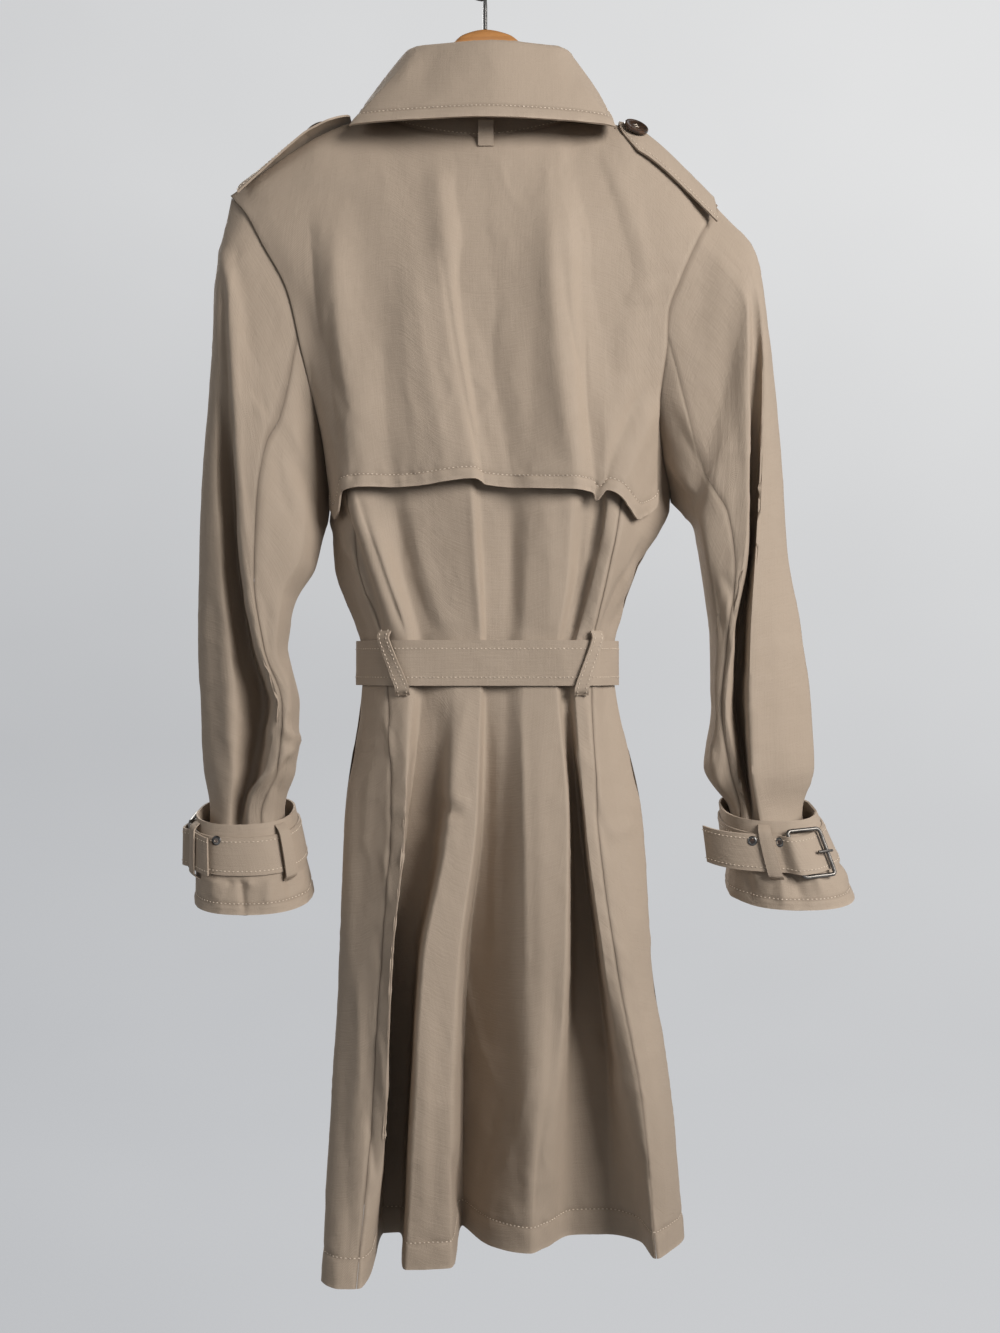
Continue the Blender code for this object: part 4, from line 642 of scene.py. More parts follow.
CREASES = dict(
    # from x, y  | to x, y | bend | width | height
    back=(
        (334, 488, 383, 634, -4, 3, -3), (345, 490, 396, 636, -2, 6, 2), (356, 488, 410, 645, 3, 3.5, -3.4),
        (357, 540, 385, 640, 2, 1.6, -1.2), (392, 487, 440, 650, 6, 7, -2), (410, 500, 455, 650, 6, 8, 1.6),
        (471, 478, 481, 650, 0, 4, 1.8), (510, 484, 514, 650, 0, 8, -1.8), (546, 492, 548, 645, -3, 9, 1.4),
        (600, 490, 596, 560, 0, 4.5, -6), (598, 530, 570, 645, -3, 3.5, -4.6),
        (622, 520, 590, 642, 4, 5, 2.6), (640, 546, 600, 640, 4, 3, -2.8), (628, 560, 618, 640, 0, 3, 1.6),
        (470, 690, 455, 800, 4, 6, 1.5), (450, 700, 440, 830, 3, 5, -1.5), (440, 800, 463, 814, 3, 4, -3.6),
        (452, 796, 470, 806, 2, 5, 2), (446, 826, 462, 818, 0, 4, 2), (430, 840, 462, 835, 3, 6, 1.2),
        (487, 690, 484, 960, -3, 6, -1.4), (520, 700, 526, 1010, -3, 3, 1.2),
        (462, 960, 500, 1090, 4, 3.5, 1.5), (500, 1090, 470, 1210, -3, 3.5, -1.5),
        (530, 1070, 500, 1180, -4, 3.5, 1.4), (548, 1100, 536, 1225, 3, 4, -1.8),
        (452, 1150, 462, 1215, 0, 4, -2.2), (470, 1040, 505, 1060, 2, 4, 1.2),
        (600, 1020, 622, 1075, 3, 4, -1.6), (622, 1060, 640, 1150, 3, 4.5, 1.6),
        (586, 700, 604, 820, 2, 3.5, 1.2), (575, 760, 586, 880, 0, 3, -1.2),
        (640, 1140, 660, 1230, 0, 5, -1.6), (500, 700, 502, 1100, 4, 9, 1.6),
        (508, 1000, 520, 1240, 0, 7, -1.6), (455, 980, 452, 1180, -3, 6, 1.6),
        (540, 720, 548, 1200, 3, 8, 1.5), (556, 960, 540, 1230, 0, 6, -1.2), (584, 745, 589, 770, 2, 5, 1.6),
        (607, 833, 632, 823, 3, 5, 1.8), (596, 800, 612, 860, 0, 4.5, -1.6), (622, 940, 628, 985, 0, 5, 1.4),
        (388, 720, 392, 760, 0, 3, 1.6), (384, 850, 390, 905, 0, 3, 1.6), (378, 930, 386, 990, 2, 3.5, -1.6),
        (378, 1030, 384, 1100, -2, 3.5, 1.8), (367, 1110, 376, 1180, 0, 3.5, -1.6),
        (429, 1000, 425, 1230, 2, 6, 1.6), (436, 1100, 431, 1262, 0, 5, -1.2),
        (326, 521, 358, 594, -4, 4, -2.6), (328, 512, 352, 560, 4, 4, 2), (336, 520, 372, 610, -2, 5, 2),
        (350, 585, 372, 640, 3, 5, -2), (360, 700, 352, 780, 2, 6, -1.6), (352, 800, 350, 1000, 0, 8, 1.8),
        (372, 760, 366, 860, 2, 5, 1.5), (345, 1040, 350, 1260, 3, 8, -1.8),
        (356, 960, 360, 1100, -2, 5, 1.4), (646, 520, 622, 592, 4, 5, 2.4), (640, 540, 628, 606, -4, 4, -2),
        (634, 590, 608, 636, 2, 4, -1.8), (628, 700, 640, 800, -3, 7, -1.5), (625, 790, 640, 960, 3, 8, 1.8),
        (640, 980, 655, 1200, -3, 8, -1.6), (655, 1000, 668, 1230, 3, 7, 1.6),
    ),
    storm_flap=(
        (334, 215, 366, 470, 8, 18, 8), (296, 225, 316, 470, 4, 15, -5), (438, 165, 450, 262, 2, 12, 3.5),
        (468, 165, 482, 268, 2, 9, -3.5), (415, 255, 452, 485, 6, 18, 4.5), (482, 262, 514, 485, 4, 12, -4.5),
        (548, 165, 577, 485, 5, 16, 4.5), (596, 150, 622, 300, 5, 10, -4), (612, 230, 614, 400, 6, 16, -3),
        (440, 215, 478, 490, 8, 10, 1.6), (456, 240, 500, 490, 8, 9, -1.6), (463, 160, 470, 300, 0, 12, -1.4),
        (563, 225, 606, 480, 8, 9, -1.6), (549, 225, 580, 495, 8, 10, 1.5), (302, 200, 364, 440, 16, 8, -2.8),
        (290, 230, 345, 470, 12, 9, 1.8), (330, 300, 352, 492, 8, 6, -1.8),
        (567, 145, 622, 315, -12, 9, -2.4), (590, 140, 650, 290, -10, 9, 1.8),
        (235, 196, 380, 178, -8, 8, 1.8), (245, 205, 360, 200, -6, 7, -1.5), (600, 300, 655, 285, 6, 7, 1.4),
        (612, 310, 652, 300, 5, 5, -1.4), (648, 385, 603, 492, 5, 6, -3.6), (664, 396, 620, 500, 4, 7, 2.6),
        (440, 243, 485, 484, 4, 2.2, -1), (586, 330, 595, 492, 2, 2.2, -1),
        (561, 243, 586, 380, 5, 2.2, -0.8), (355, 470, 342, 500, 0, 3.5, -2.2),
        (668, 440, 650, 512, 0, 5, -1.8), (500, 300, 506, 490, 3, 11, 1.2), (530, 330, 528, 490, -3, 8, -1),
        (404, 260, 424, 485, 6, 10, 1.4), (385, 330, 396, 490, 5, 7, -1.2), (404, 484, 412, 470, 0, 6, -1.2),
    ),
    sleeve_l=(
        (222, 246, 234, 302, 0, 4, 2), (234, 298, 238, 422, 1, 4, 2.6), (238, 418, 250, 562, 2, 4, 2.4),
        (214, 300, 226, 545, 2, 7, -3), (226, 540, 250, 690, 2, 7, -3), (222, 250, 226, 420, 3, 7, 1.8),
        (236, 240, 243, 300, 2, 5, -1.6), (252, 260, 290, 330, -4, 6, 1.5), (248, 300, 252, 360, 2, 5, -1.4),
        (252, 392, 276, 408, 3, 4, -2), (255, 405, 272, 416, 3, 4, 1.5), (240, 500, 236, 640, -4, 6, 1.5),
        (205, 420, 207, 700, 0, 7, 1.6), (212, 560, 216, 780, 0, 5, -1.8), (246, 590, 262, 680, 3, 5, 1.8),
        (236, 640, 258, 740, 3, 5, -2), (226, 690, 240, 800, 2, 5, 1.6), (210, 700, 222, 806, 2, 5, 1.4),
        (268, 735, 246, 790, -4, 5, -4.5), (300, 392, 316, 410, 2, 4, -2), (290, 420, 312, 470, 3, 6, 1.8),
        (276, 440, 290, 520, 3, 6, -1.6), (300, 480, 318, 520, 0, 5, 1.6), (262, 470, 262, 580, 0, 6, 1.4),
        (286, 600, 288, 706, 0, 4, 2.2), (288, 703, 281, 732, 0, 3.5, 3.2), (280, 728, 300, 742, 0, 4, 4.5),
        (298, 741, 252, 792, 0, 4.5, 5), (272, 690, 274, 730, 0, 5, -3), (290, 752, 276, 800, 0, 8, -3.5),
        (266, 600, 276, 690, 3, 5, -1.6),
    ),
    sleeve_r=(
        (744, 556, 740, 692, 2, 4, -3.5), (757, 330, 753, 562, 0, 3, -4.5), (741, 688, 743, 812, 0, 3.5, -2),
        (748, 300, 749, 560, 3, 6, 1.4), (722, 240, 716, 350, 0, 8, 1.4), (706, 260, 690, 340, 0, 6, -1.6),
        (724, 330, 740, 470, 3, 7, -1.4), (766, 330, 782, 600, 3, 7, 1.5), (758, 300, 760, 420, 0, 5, -1.5),
        (784, 500, 800, 800, 0, 6, -1.2), (775, 600, 790, 800, 0, 7, 1.4), (722, 574, 736, 612, -2, 4, -2),
        (728, 590, 734, 660, 2, 4, 1.6), (754, 700, 757, 815, 0, 4, 2), (664, 448, 698, 492, 5, 5, 3),
        (668, 466, 694, 502, 4, 4, -2.6), (672, 420, 704, 480, -4, 5, -1.8), (676, 400, 712, 500, -6, 7, 2),
        (704, 505, 716, 590, 3, 6, 1.5), (712, 560, 724, 640, 2, 4, -1.8), (716, 690, 708, 760, 0, 5, -2),
        (722, 720, 722, 800, 2, 5, 1.8), (708, 735, 720, 790, 0, 4, 1.8),
    ),
    cuff_l=(
        (240, 870, 244, 914, 0, 3, -3), (250, 862, 250, 890, 0, 3, 2.4), (288, 850, 292, 905, 0, 6, -3.2),
        (215, 865, 214, 905, 0, 6, 2.4), (268, 868, 270, 912, 0, 6, 2.6), (228, 862, 231, 888, 2, 4, -2.2),
        (300, 862, 306, 900, 0, 4, 2.4),
    ),
    cuff_r=(
        (745, 860, 750, 900, 0, 5, -2.8), (728, 868, 738, 900, 2, 4, 2.2), (762, 858, 756, 884, 2, 5, 2.4),
        (780, 866, 784, 908, 0, 6, 3), (798, 862, 802, 900, 2, 5, -2.6), (826, 835, 850, 868, 3, 5, -2.6),
        (812, 858, 822, 898, 0, 5, 2.6), (838, 850, 846, 884, 0, 4, 2.2),
    ),
    front_l=(
        (380, 520, 400, 640, -6, 8, 2), (400, 700, 384, 1000, 4, 12, -2.4), (480, 900, 470, 1200, 4, 14, 2.2),
        (360, 930, 350, 1240, 3, 12, 2),
    ),
    front_r=(
        (620, 540, 600, 640, 6, 8, 2), (590, 700, 606, 1000, 4, 12, -2.4), (520, 930, 526, 1200, -4, 14, 2.2),
        (640, 930, 650, 1240, 3, 12, 2),
    ),
    belt=(
        (420, 645, 424, 682, 0, 8, -1), (520, 645, 516, 682, 0, 10, -1), (560, 645, 566, 682, 0, 6, 0.8),
    ),
    collar_fall=(
        (440, 52, 420, 100, 4, 9, -1.2), (418, 50, 396, 84, -3, 6, 1.4), (560, 50, 580, 90, -3, 8, -1.2),
        (500, 50, 505, 105, 3, 14, 1),
    ),
)
CREASE_SHARPNESS = 1.6
CREASE_TAPER = 4.0
# Unevenness of any cloth, and the thin ridges left from its folding: size of a patch, seed, share.
SWELLS = ((55.0, 3.1, 1.0), (17.0, 7.7, 0.3))
RIDGES = ((34.0, 1.9, 1.0), (15.0, 8.3, 0.5))
CRUMPLED = 0.6
SEAM_DIP = 0.8
SEAM_DIP_WIDTH = 1.8
PUCKER_REACH = 11.0
PUCKER_LENGTH = 11.0
PUCKER_DEPTH = 34.0
HEM_PUCKER = 0.8
HEM_PUCKER_LENGTH = 13.0
HEM_PUCKER_DEPTH = 40.0
HEM_DIP = 0.55
HEM_SWELL = 0.4
STITCH_LIFT = 0.25
CLOTH_SHARP = 70


class Piece:
    """A finished piece of cloth: its outer places and outward directions, kept for what is sewn on it."""

    def __init__(self, item, grid, outward, wrap, hem_row):
        self.item = item
        self.hem_row = hem_row
        self.grid = grid
        self.outward = outward
        self.wrap = wrap


PIECES = {}
STITCH_LINES = {}


def sight(points):
    """Where places look to be on the sight plane, in squares from the view's top left."""
    share = (SIGHT_PLANE_Y - VIEW_Y) / (points[..., 1] - VIEW_Y)
    x = (points[..., 0] - VIEW_X) * share / SQUARE
    z = (points[..., 2] - VIEW_Z) * share / SQUARE
    return np.stack([SIGHT_COLUMNS / 2 + x, SIGHT_ROWS / 2 - z], axis=-1)


def creased(points, name):
    """Height of a piece's creases at its places, in millimetres."""
    seen = sight(points)
    total = np.zeros(points.shape[:-1])
    for x0, y0, x1, y1, bend, width, height in CREASES.get(name, ()):
        way = np.array([x1 - x0, y1 - y0], float)
        length = np.hypot(*way)
        way /= length
        offset = seen - np.array([x0, y0])
        share = offset @ way / length
        inside = np.clip(share, 0, 1)
        aside = offset @ np.array([-way[1], way[0]]) - bend * 4 * inside * (1 - inside)
        distance = np.hypot(aside, (share - inside) * length) * SQUARE
        taper = np.clip(np.minimum(inside, 1 - inside) * CREASE_TAPER + 0.15, 0, 1)
        total += height * taper * np.exp(-(distance / width) ** CREASE_SHARPNESS)
    return total


def unevenness(points, scale, seed):
    """Soft noise at each place, about -1 to 1."""
    flat = points.reshape(-1, 3) / scale + seed
    return np.array([noise.noise(Vector(point)) for point in flat]).reshape(points.shape[:-1])


def directions(grid, wrap=False, flip=False):
    """Outward directions of a grid of places."""
    down = np.gradient(grid, axis=0)
    across = np.roll(grid, -1, axis=1) - np.roll(grid, 1, axis=1) if wrap else np.gradient(grid, axis=1)
    direction = unit(np.cross(down, across))
    return -direction if flip else direction


def lengths(grid, axis):
    """Distance of each place from the first one in its row (axis 1) or column (axis 0)."""
    step = np.linalg.norm(np.diff(grid, axis=axis), axis=-1)
    return np.insert(np.cumsum(step, axis=axis), 0, 0, axis=axis)


def edge_distances(grid):
    across, down = lengths(grid, 1), lengths(grid, 0)
    return dict(left=(across, down), right=(across[:, -1:] - across, down),
                top=(down, across), bottom=(down[-1:] - down, across))


def wall_faces(rows, columns, wrap, flip):
    """Corner places of a closed wall's faces, as (layer, row, column) with columns not yet wrapped."""
    spans = columns if wrap else columns - 1
    i, j = (part.ravel() for part in np.meshgrid(np.arange(rows - 1), np.arange(spans), indexing="ij"))
    across, down = np.arange(spans), np.arange(rows - 1)

    def corners(*places):
        return np.stack([np.stack(np.broadcast_arrays(*place), -1) for place in places], axis=1)
    last = rows - 1
    faces = [corners((0, i, j), (0, i + 1, j), (0, i + 1, j + 1), (0, i, j + 1)),
             corners((1, i, j), (1, i, j + 1), (1, i + 1, j + 1), (1, i + 1, j)),
             corners((0, 0, across), (0, 0, across + 1), (1, 0, across + 1), (1, 0, across)),
             corners((0, last, across + 1), (0, last, across), (1, last, across), (1, last, across + 1))]
    if not wrap:
        side = columns - 1
        faces.append(corners((0, down + 1, 0), (0, down, 0), (1, down, 0), (1, down + 1, 0)))
        faces.append(corners((0, down, side), (0, down + 1, side), (1, down + 1, side), (1, down, side)))
    faces = np.vstack(faces)
    return faces[:, ::-1] if flip else faces


def new_object(name, data):
    """A new object in the scene, at the origin."""
    item = bpy.data.objects.new(name, data)
    bpy.context.scene.collection.objects.link(item)
    return item


def smooth_object(name, mesh, material, sharp):
    """An object of one material, smooth except where it bends by more than the angle."""
    mesh.shade_smooth()
    mesh.set_sharp_from_angle(angle=math.radians(sharp))
    mesh.materials.append(material)
    return new_object(name, mesh)


def closed_wall(name, outer, inner, wrap, flip, marks):
    """One closed shell between two grids, with a UV map in metres along the cloth."""
    rows, columns = outer.shape[:2]
    faces = wall_faces(rows, columns, wrap, flip)
    layer, row, column = faces[..., 0], faces[..., 1], faces[..., 2]
    index = layer * rows * columns + row * columns + column % columns
    mesh = bpy.data.meshes.new(name)
    points = np.concatenate([outer.reshape(-1, 3), inner.reshape(-1, 3)]) * MM
    mesh.from_pydata(points.tolist(), [], index.tolist())
    wide = np.concatenate([outer, outer[:, :1]], axis=1) if wrap else outer
    u, v = lengths(wide, 1), lengths(wide, 0)
    u = u - u[:, u.shape[1] // 2][:, None]
    uv = np.stack([u[row, column], -v[row, column]], axis=-1) * MM
    mesh.uv_layers.new(name="UVMap").data.foreach_set("uv", uv.astype(np.float32).ravel())
    for mark, values in marks.items():
        if values is not None:
            layer_of = mesh.attributes.new(mark, "FLOAT", "POINT")
            layer_of.data.foreach_set("value", np.tile(values.ravel(), 2).astype(np.float32))
    return smooth_object(name, mesh, finish("gabardine"), CLOTH_SHARP)


def take_place(item, nodes):
    """Rides the piece on the coat and hides the solids it stands for."""
    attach(item, BODY)
    if nodes:
        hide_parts(*nodes)


def crumple(points, size, seed):
    """Thin ridges as on cloth that was once folded small, 0 to 1, only in patches."""
    ridge = 1 - np.clip(np.abs(unevenness(points, size, seed)) * 5.5, 0, 1)
    patch = np.clip(unevenness(points, size * 2.4, seed + 4.4) * 2.6 + 0.35, 0, 1)
    return ridge * patch


def ripple(along, away, length, depth, seed):
    """Puckers along a row of stitches, about -2 to 0.6."""
    wave = np.stack([along / length, away / depth, along * 0], axis=-1)
    return 0.6 - np.abs(unevenness(wave, 1.0, seed)) * 3.0


def lay_cloth(node, grid, flip=False, wrap=False, sewn=(), hem=None, uneven=0.65, quiet=1.0,
              lowest=None, bevels=(SEAM_BEVEL, SHOULDER_BEVEL), family=None):
    """A piece of cloth that stands for a node: creases, seam dips and puckers, then a closed shell."""
    outward = directions(grid, wrap, flip)
    height = creased(grid, family or node)
    height += uneven * sum(share * unevenness(grid, size, seed) for size, seed, share in SWELLS)
    height += CRUMPLED * sum(share * crumple(grid, size, seed) for size, seed, share in RIDGES)
    edges = edge_distances(grid)
    # Edges paler from real wear, and from a painted highlight on the ridge beside each seam.
    wear_and_highlight = np.zeros(grid.shape[:2])
    # Grooves darker from painted shade, with some dirt.
    seam = np.zeros(grid.shape[:2])
    for edge, pucker in dict(sewn).items():
        distance, along = edges[edge]
        dip = np.exp(-(distance / SEAM_DIP_WIDTH) ** 2)
        height -= SEAM_DIP * dip
        waves = ripple(along, distance, PUCKER_LENGTH, PUCKER_DEPTH, 0.37)
        height += pucker * waves * np.exp(-distance / PUCKER_REACH) * np.clip(distance / 3, 0, 1)
        # Painted highlight on the puffed ridge beside each seam, kept in one mark with the wear.
        wear_and_highlight = np.maximum(wear_and_highlight, 0.3 * np.exp(-((distance - 3.0) / 1.5) ** 2))
        # Painted shade, with some dirt, darkening the groove of each seam.
        seam = np.maximum(seam, np.exp(-(distance / 1.2) ** 2))
    hem_row = None
    if hem is not None:
        down = edges["top"][0]
        hem_row = int(np.argmin(np.abs(np.median(down[-1] - down, axis=1) - hem)))
        below, along = down - down[hem_row], edges["bottom"][1]
        height -= HEM_DIP * np.exp(-(below / 1.3) ** 2)
        height += HEM_SWELL * np.clip(below / 2, 0, 1)
        waves = ripple(along, below, HEM_PUCKER_LENGTH, HEM_PUCKER_DEPTH, 9.3)
        height += HEM_PUCKER * waves * np.exp(-(below / 9.0) ** 2) * np.clip(np.abs(below) / 2, 0, 1)
        # Real wear paling the hem's folded edge, in the same mark as the painted highlight.
        wear_and_highlight = np.maximum(wear_and_highlight, np.exp(-((down[-1] - down) / 2.5) ** 2))
        # Painted shade, with some dirt, in the groove of the hem's row of stitches.
        seam = np.maximum(seam, 0.7 * np.exp(-(below / 1.0) ** 2))
    height = height * quiet
    if lowest is not None:
        height = np.maximum(height, lowest)
    outer = grid + outward * height[..., None]
    outward = directions(outer, wrap, flip)
    inner = outer - outward * WALL
    for edge in dict(sewn):
        outer, inner = pull_in(outer, inner, edge, bevels[edge == "top"])
    return keep_cloth(node, outer, inner, outward, flip, wrap, wear_and_highlight, seam, hem_row)


def keep_cloth(node, outer, inner, outward, flip=False, wrap=False, wear_and_highlight=None, seam=None, hem_row=None):
    """Makes the shell of a finished pair of grids and remembers it for the sewing."""
    item = closed_wall(node + "_cloth", outer, inner, wrap, flip, dict(wear_and_highlight=wear_and_highlight, seam=seam))
    take_place(item, [node])
    PIECES[node] = Piece(item, outer, outward, wrap, hem_row)
    return PIECES[node]


def pull_in(outer, inner, edge, amount):
    """Holds one edge of a wall off its neighbour, its inner side further than its outer one."""
    outer, inner = outer.copy(), inner.copy()
    every = slice(None)
    first, second = dict(left=((every, 0), (every, 1)), right=((every, -1), (every, -2)),
                         top=((0,), (1,)), bottom=((-1,), (-2,)))[edge]
    for grid, pull in ((outer, SEAM_GAP / 2), (inner, SEAM_GAP / 2 + amount)):
        grid[first] += pull * unit(grid[second] - grid[first])
    return outer, inner


def read_form(form, across, down):
    """Places of a form where the line and the drop both change, read off a fine grid of it."""
    lines = np.linspace(across.min(), across.max(), int(np.ptp(across) * 12) + 2)
    drops = np.linspace(down.min(), down.max(), int(np.ptp(down) / 3) + 2)
    grid = form(lines, drops)
    a, d = (across - lines[0]) / (lines[1] - lines[0]), (down - drops[0]) / (drops[1] - drops[0])
    j = np.clip(np.floor(a).astype(int), 0, len(lines) - 2)
    i = np.clip(np.floor(d).astype(int), 0, len(drops) - 2)
    a, d = (a - j)[..., None], (d - i)[..., None]
    upper = grid[i, j] * (1 - a) + grid[i, j + 1] * a
    lower = grid[i + 1, j] * (1 - a) + grid[i + 1, j + 1] * a
    return upper * (1 - d) + lower * d


def refine(rows, down_count, across_count=None):
    """A smooth fine grid through a coarse one."""
    rows = np.asarray(rows, float)
    count = rows.shape[0]
    fine = smooth(range(count), rows.reshape(count, -1), np.linspace(0, count - 1, down_count))
    fine = fine.reshape(down_count, -1, 3)
    if across_count:
        fine = refine(fine.transpose(1, 0, 2), across_count).transpose(1, 0, 2)
    return fine


def spaced(first, last, step):
    return np.linspace(first, last, int(round((last - first) / step)) + 1)


def rows_with_hem(first, last, step, hem):
    """Evenly spaced rows, with a close set of three where the hem is stitched."""
    rows = spaced(first, last, step)
    rows = rows[np.abs(rows - (last - hem)) > 2.6]
    return np.sort(np.r_[rows, last - hem - 1.1, last - hem, last - hem + 1.1])


# ---------- sewing
def stitch_from_edge(node, edge, distance):
    """A row of stitches at a distance from one edge of a finished piece, kept until it is sewn."""
    piece = PIECES[node]
    grid = piece.grid + piece.outward * STITCH_LIFT
    if piece.wrap:
        grid = np.concatenate([grid, grid[:, :1]], axis=1)
    if edge == "hem":
        STITCH_LINES.setdefault(node, []).append(grid[piece.hem_row])
        return
    if edge in ("left", "right"):
        grid = grid.transpose(1, 0, 2)
    if edge in ("right", "bottom"):
        grid = grid[::-1]
    reach = lengths(grid, 0)
    line = [[np.interp(distance, reach[:, column], grid[:, column, axis]) for axis in range(3)]
            for column in range(grid.shape[1])]
    STITCH_LINES.setdefault(node, []).append(np.array(line))


def node_input(tree, name, kind, default=None):
    socket = tree.interface.new_socket(name, in_out="INPUT", socket_type=kind)
    if default is not None:
        socket.default_value = default
    return socket


def stitch_tree():
    """Geometry nodes that lay one small thread bar at each pitch along the rows."""
    tree = bpy.data.node_groups.new("Stitch rows", "GeometryNodeTree")
    node_input(tree, "Rows", "NodeSocketGeometry")
    for name, default in (("Pitch", 0.0028), ("Stitch length", 0.0021), ("Thread thickness", 0.0005)):
        node_input(tree, name, "NodeSocketFloat", default)
    node_input(tree, "Thread", "NodeSocketMaterial")
    tree.interface.new_socket("Stitches", in_out="OUTPUT", socket_type="NodeSocketGeometry")
    new = tree.nodes.new
    entry, leave = new("NodeGroupInput"), new("NodeGroupOutput")
    curve, points = new("GeometryNodeMeshToCurve"), new("GeometryNodeResampleCurve")
    points.mode = "LENGTH"
    bar = new("GeometryNodeMeshIcoSphere")
    bar.inputs["Radius"].default_value = 0.5
    bar.inputs["Subdivisions"].default_value = 1
    size, place = new("ShaderNodeCombineXYZ"), new("GeometryNodeInstanceOnPoints")
    tangent, turn = new("GeometryNodeInputTangent"), new("FunctionNodeAlignRotationToVector")
    turn.axis = "X"
    vary, uneven = new("FunctionNodeRandomValue"), new("ShaderNodeMath")
    vary.data_type = "FLOAT"
    for name, value in (("Min", 0.88), ("Max", 1.08), ("Seed", 11)):
        vary.inputs[name].default_value = value
    uneven.operation = "MULTIPLY"
    real, finish = new("GeometryNodeRealizeInstances"), new("GeometryNodeSetMaterial")
    links = (
        (entry, "Rows", curve, "Mesh"), (curve, "Curve", points, "Curve"),
        (entry, "Pitch", points, "Length"), (points, "Curve", place, "Points"),
        (bar, "Mesh", place, "Instance"), (entry, "Stitch length", uneven, 0), (vary, "Value", uneven, 1),
        (uneven, "Value", size, "X"), (entry, "Thread thickness", size, "Y"),
        (entry, "Thread thickness", size, "Z"), (tangent, "Tangent", turn, "Vector"),
        (turn, "Rotation", place, "Rotation"), (size, "Vector", place, "Scale"),
        (place, "Instances", real, "Geometry"), (real, "Geometry", finish, "Geometry"),
        (entry, "Thread", finish, "Material"), (finish, "Geometry", leave, "Stitches"),
    )
    for giver, out, taker, into in links:
        tree.links.new(giver.outputs[out], taker.inputs[into])
    return tree


def sew(name, lines, thread, sizes):
    """Turns rows of places into one mesh of stitches."""
    mesh = bpy.data.meshes.new(name)
    points = np.concatenate(lines) * MM
    starts = np.cumsum([0] + [len(line) for line in lines])
    edges = [(a, a + 1) for first, line in zip(starts, lines) for a in range(first, first + len(line) - 1)]
    mesh.from_pydata(points.tolist(), edges, [])
    rows = new_object(name + "_rows", mesh)
    maker = rows.modifiers.new("Stitches", "NODES")
    tree = bpy.data.node_groups.get("Stitch rows") or stitch_tree()
    maker.node_group = tree
    values = {"Pitch": sizes.stitch_pitch, "Stitch length": sizes.stitch_length,
              "Thread thickness": sizes.thread_thickness, "Thread": thread}
    for socket in tree.interface.items_tree:
        if socket.name in values and socket.in_out == "INPUT":
            maker[socket.identifier] = values[socket.name]
    sewn = mesh_of(rows, name)
    take_place(sewn, [])
    return sewn


def mesh_of(source, name):
    """The evaluated mesh of an object as a plain object at the origin; the source is removed."""
    bpy.context.view_layer.update()
    graph = bpy.context.evaluated_depsgraph_get()
    mesh = bpy.data.meshes.new_from_object(source.evaluated_get(graph))
    mesh.transform(source.matrix_world)
    bpy.data.objects.remove(source, do_unlink=True)
    mesh.name = name
    return new_object(name, mesh)


# ---------- materials
class Nodes:
    """Short ways to add and join the nodes of one material."""

    def __init__(self, name):
        self.item = bpy.data.materials.new(name)
        self.item.use_nodes = True
        self.tree = self.item.node_tree
        self.shader = self.tree.nodes["Principled BSDF"]

    def give(self, socket, value):
        if isinstance(value, bpy.types.NodeSocket):
            self.tree.links.new(value, socket)
        else:
            socket.default_value = value

    def add(self, kind, *values, **settings):
        node = self.tree.nodes.new(kind)
        for name, value in settings.items():
            setattr(node, name, value)
        for number, value in enumerate(values):
            if value is not None:
                self.give(node.inputs[number], value)
        return node

    def maths(self, operation, first, second=None):
        return self.add("ShaderNodeMath", first, second, operation=operation).outputs[0]

    def times(self, first, second):
        return self.maths("MULTIPLY", first, second)

    def mark(self, name):
        """What a shell's own point attribute holds."""
        return self.add("ShaderNodeAttribute", attribute_name=name).outputs["Fac"]

    def cloud(self, place, scale, detail=3.0, roughness=0.55):
        """Noise from about 0 to 1 at a scale given in patches a metre."""
        node = self.add("ShaderNodeTexNoise")
        self.give(node.inputs["Vector"], place)
        for name, value in (("Scale", scale), ("Detail", detail), ("Roughness", roughness)):
            node.inputs[name].default_value = value
        return node.outputs["Fac"]

    def stretch(self, place, scale):
        return self.add("ShaderNodeVectorMath", place, scale, operation="MULTIPLY").outputs[0]

    def between(self, factor, low, high, to_low=0.0, to_high=1.0):
        node = self.add("ShaderNodeMapRange", factor, low, high, to_low, to_high)
        return node.outputs["Result"]

    def blend(self, factor, first, second):
        """One colour over another."""
        node = self.add("ShaderNodeMix", data_type="RGBA")
        self.give(node.inputs["Factor"], factor)
        for name, value in (("A", first), ("B", second)):
            socket = next(s for s in node.inputs if s.name == name and s.type == "RGBA")
            self.give(socket, value)
        return next(s for s in node.outputs if s.type == "RGBA")

    def bump(self, height, distance, normal=None, strength=1.0):
        node = self.add("ShaderNodeBump")
        self.give(node.inputs["Height"], height)
        node.inputs["Distance"].default_value = distance
        node.inputs["Strength"].default_value = strength
        if normal is not None:
            self.give(node.inputs["Normal"], normal)
        return node.outputs["Normal"]

    def surface(self, **values):
        for name, value in values.items():
            self.give(self.shader.inputs[name.replace("_", " ").title().replace("Ior", "IOR")], value)

    def object_place(self):
        return self.add("ShaderNodeTexCoord").outputs["Object"]

    def cloth_place(self):
        return self.add("ShaderNodeUVMap", uv_map="UVMap").outputs["UV"]


def shade(colour, factor, warm=1.0):
    """A colour made lighter or darker, and a little warmer or cooler."""
    return (colour[0] * factor * warm, colour[1] * factor, colour[2] * factor / warm, 1.0)


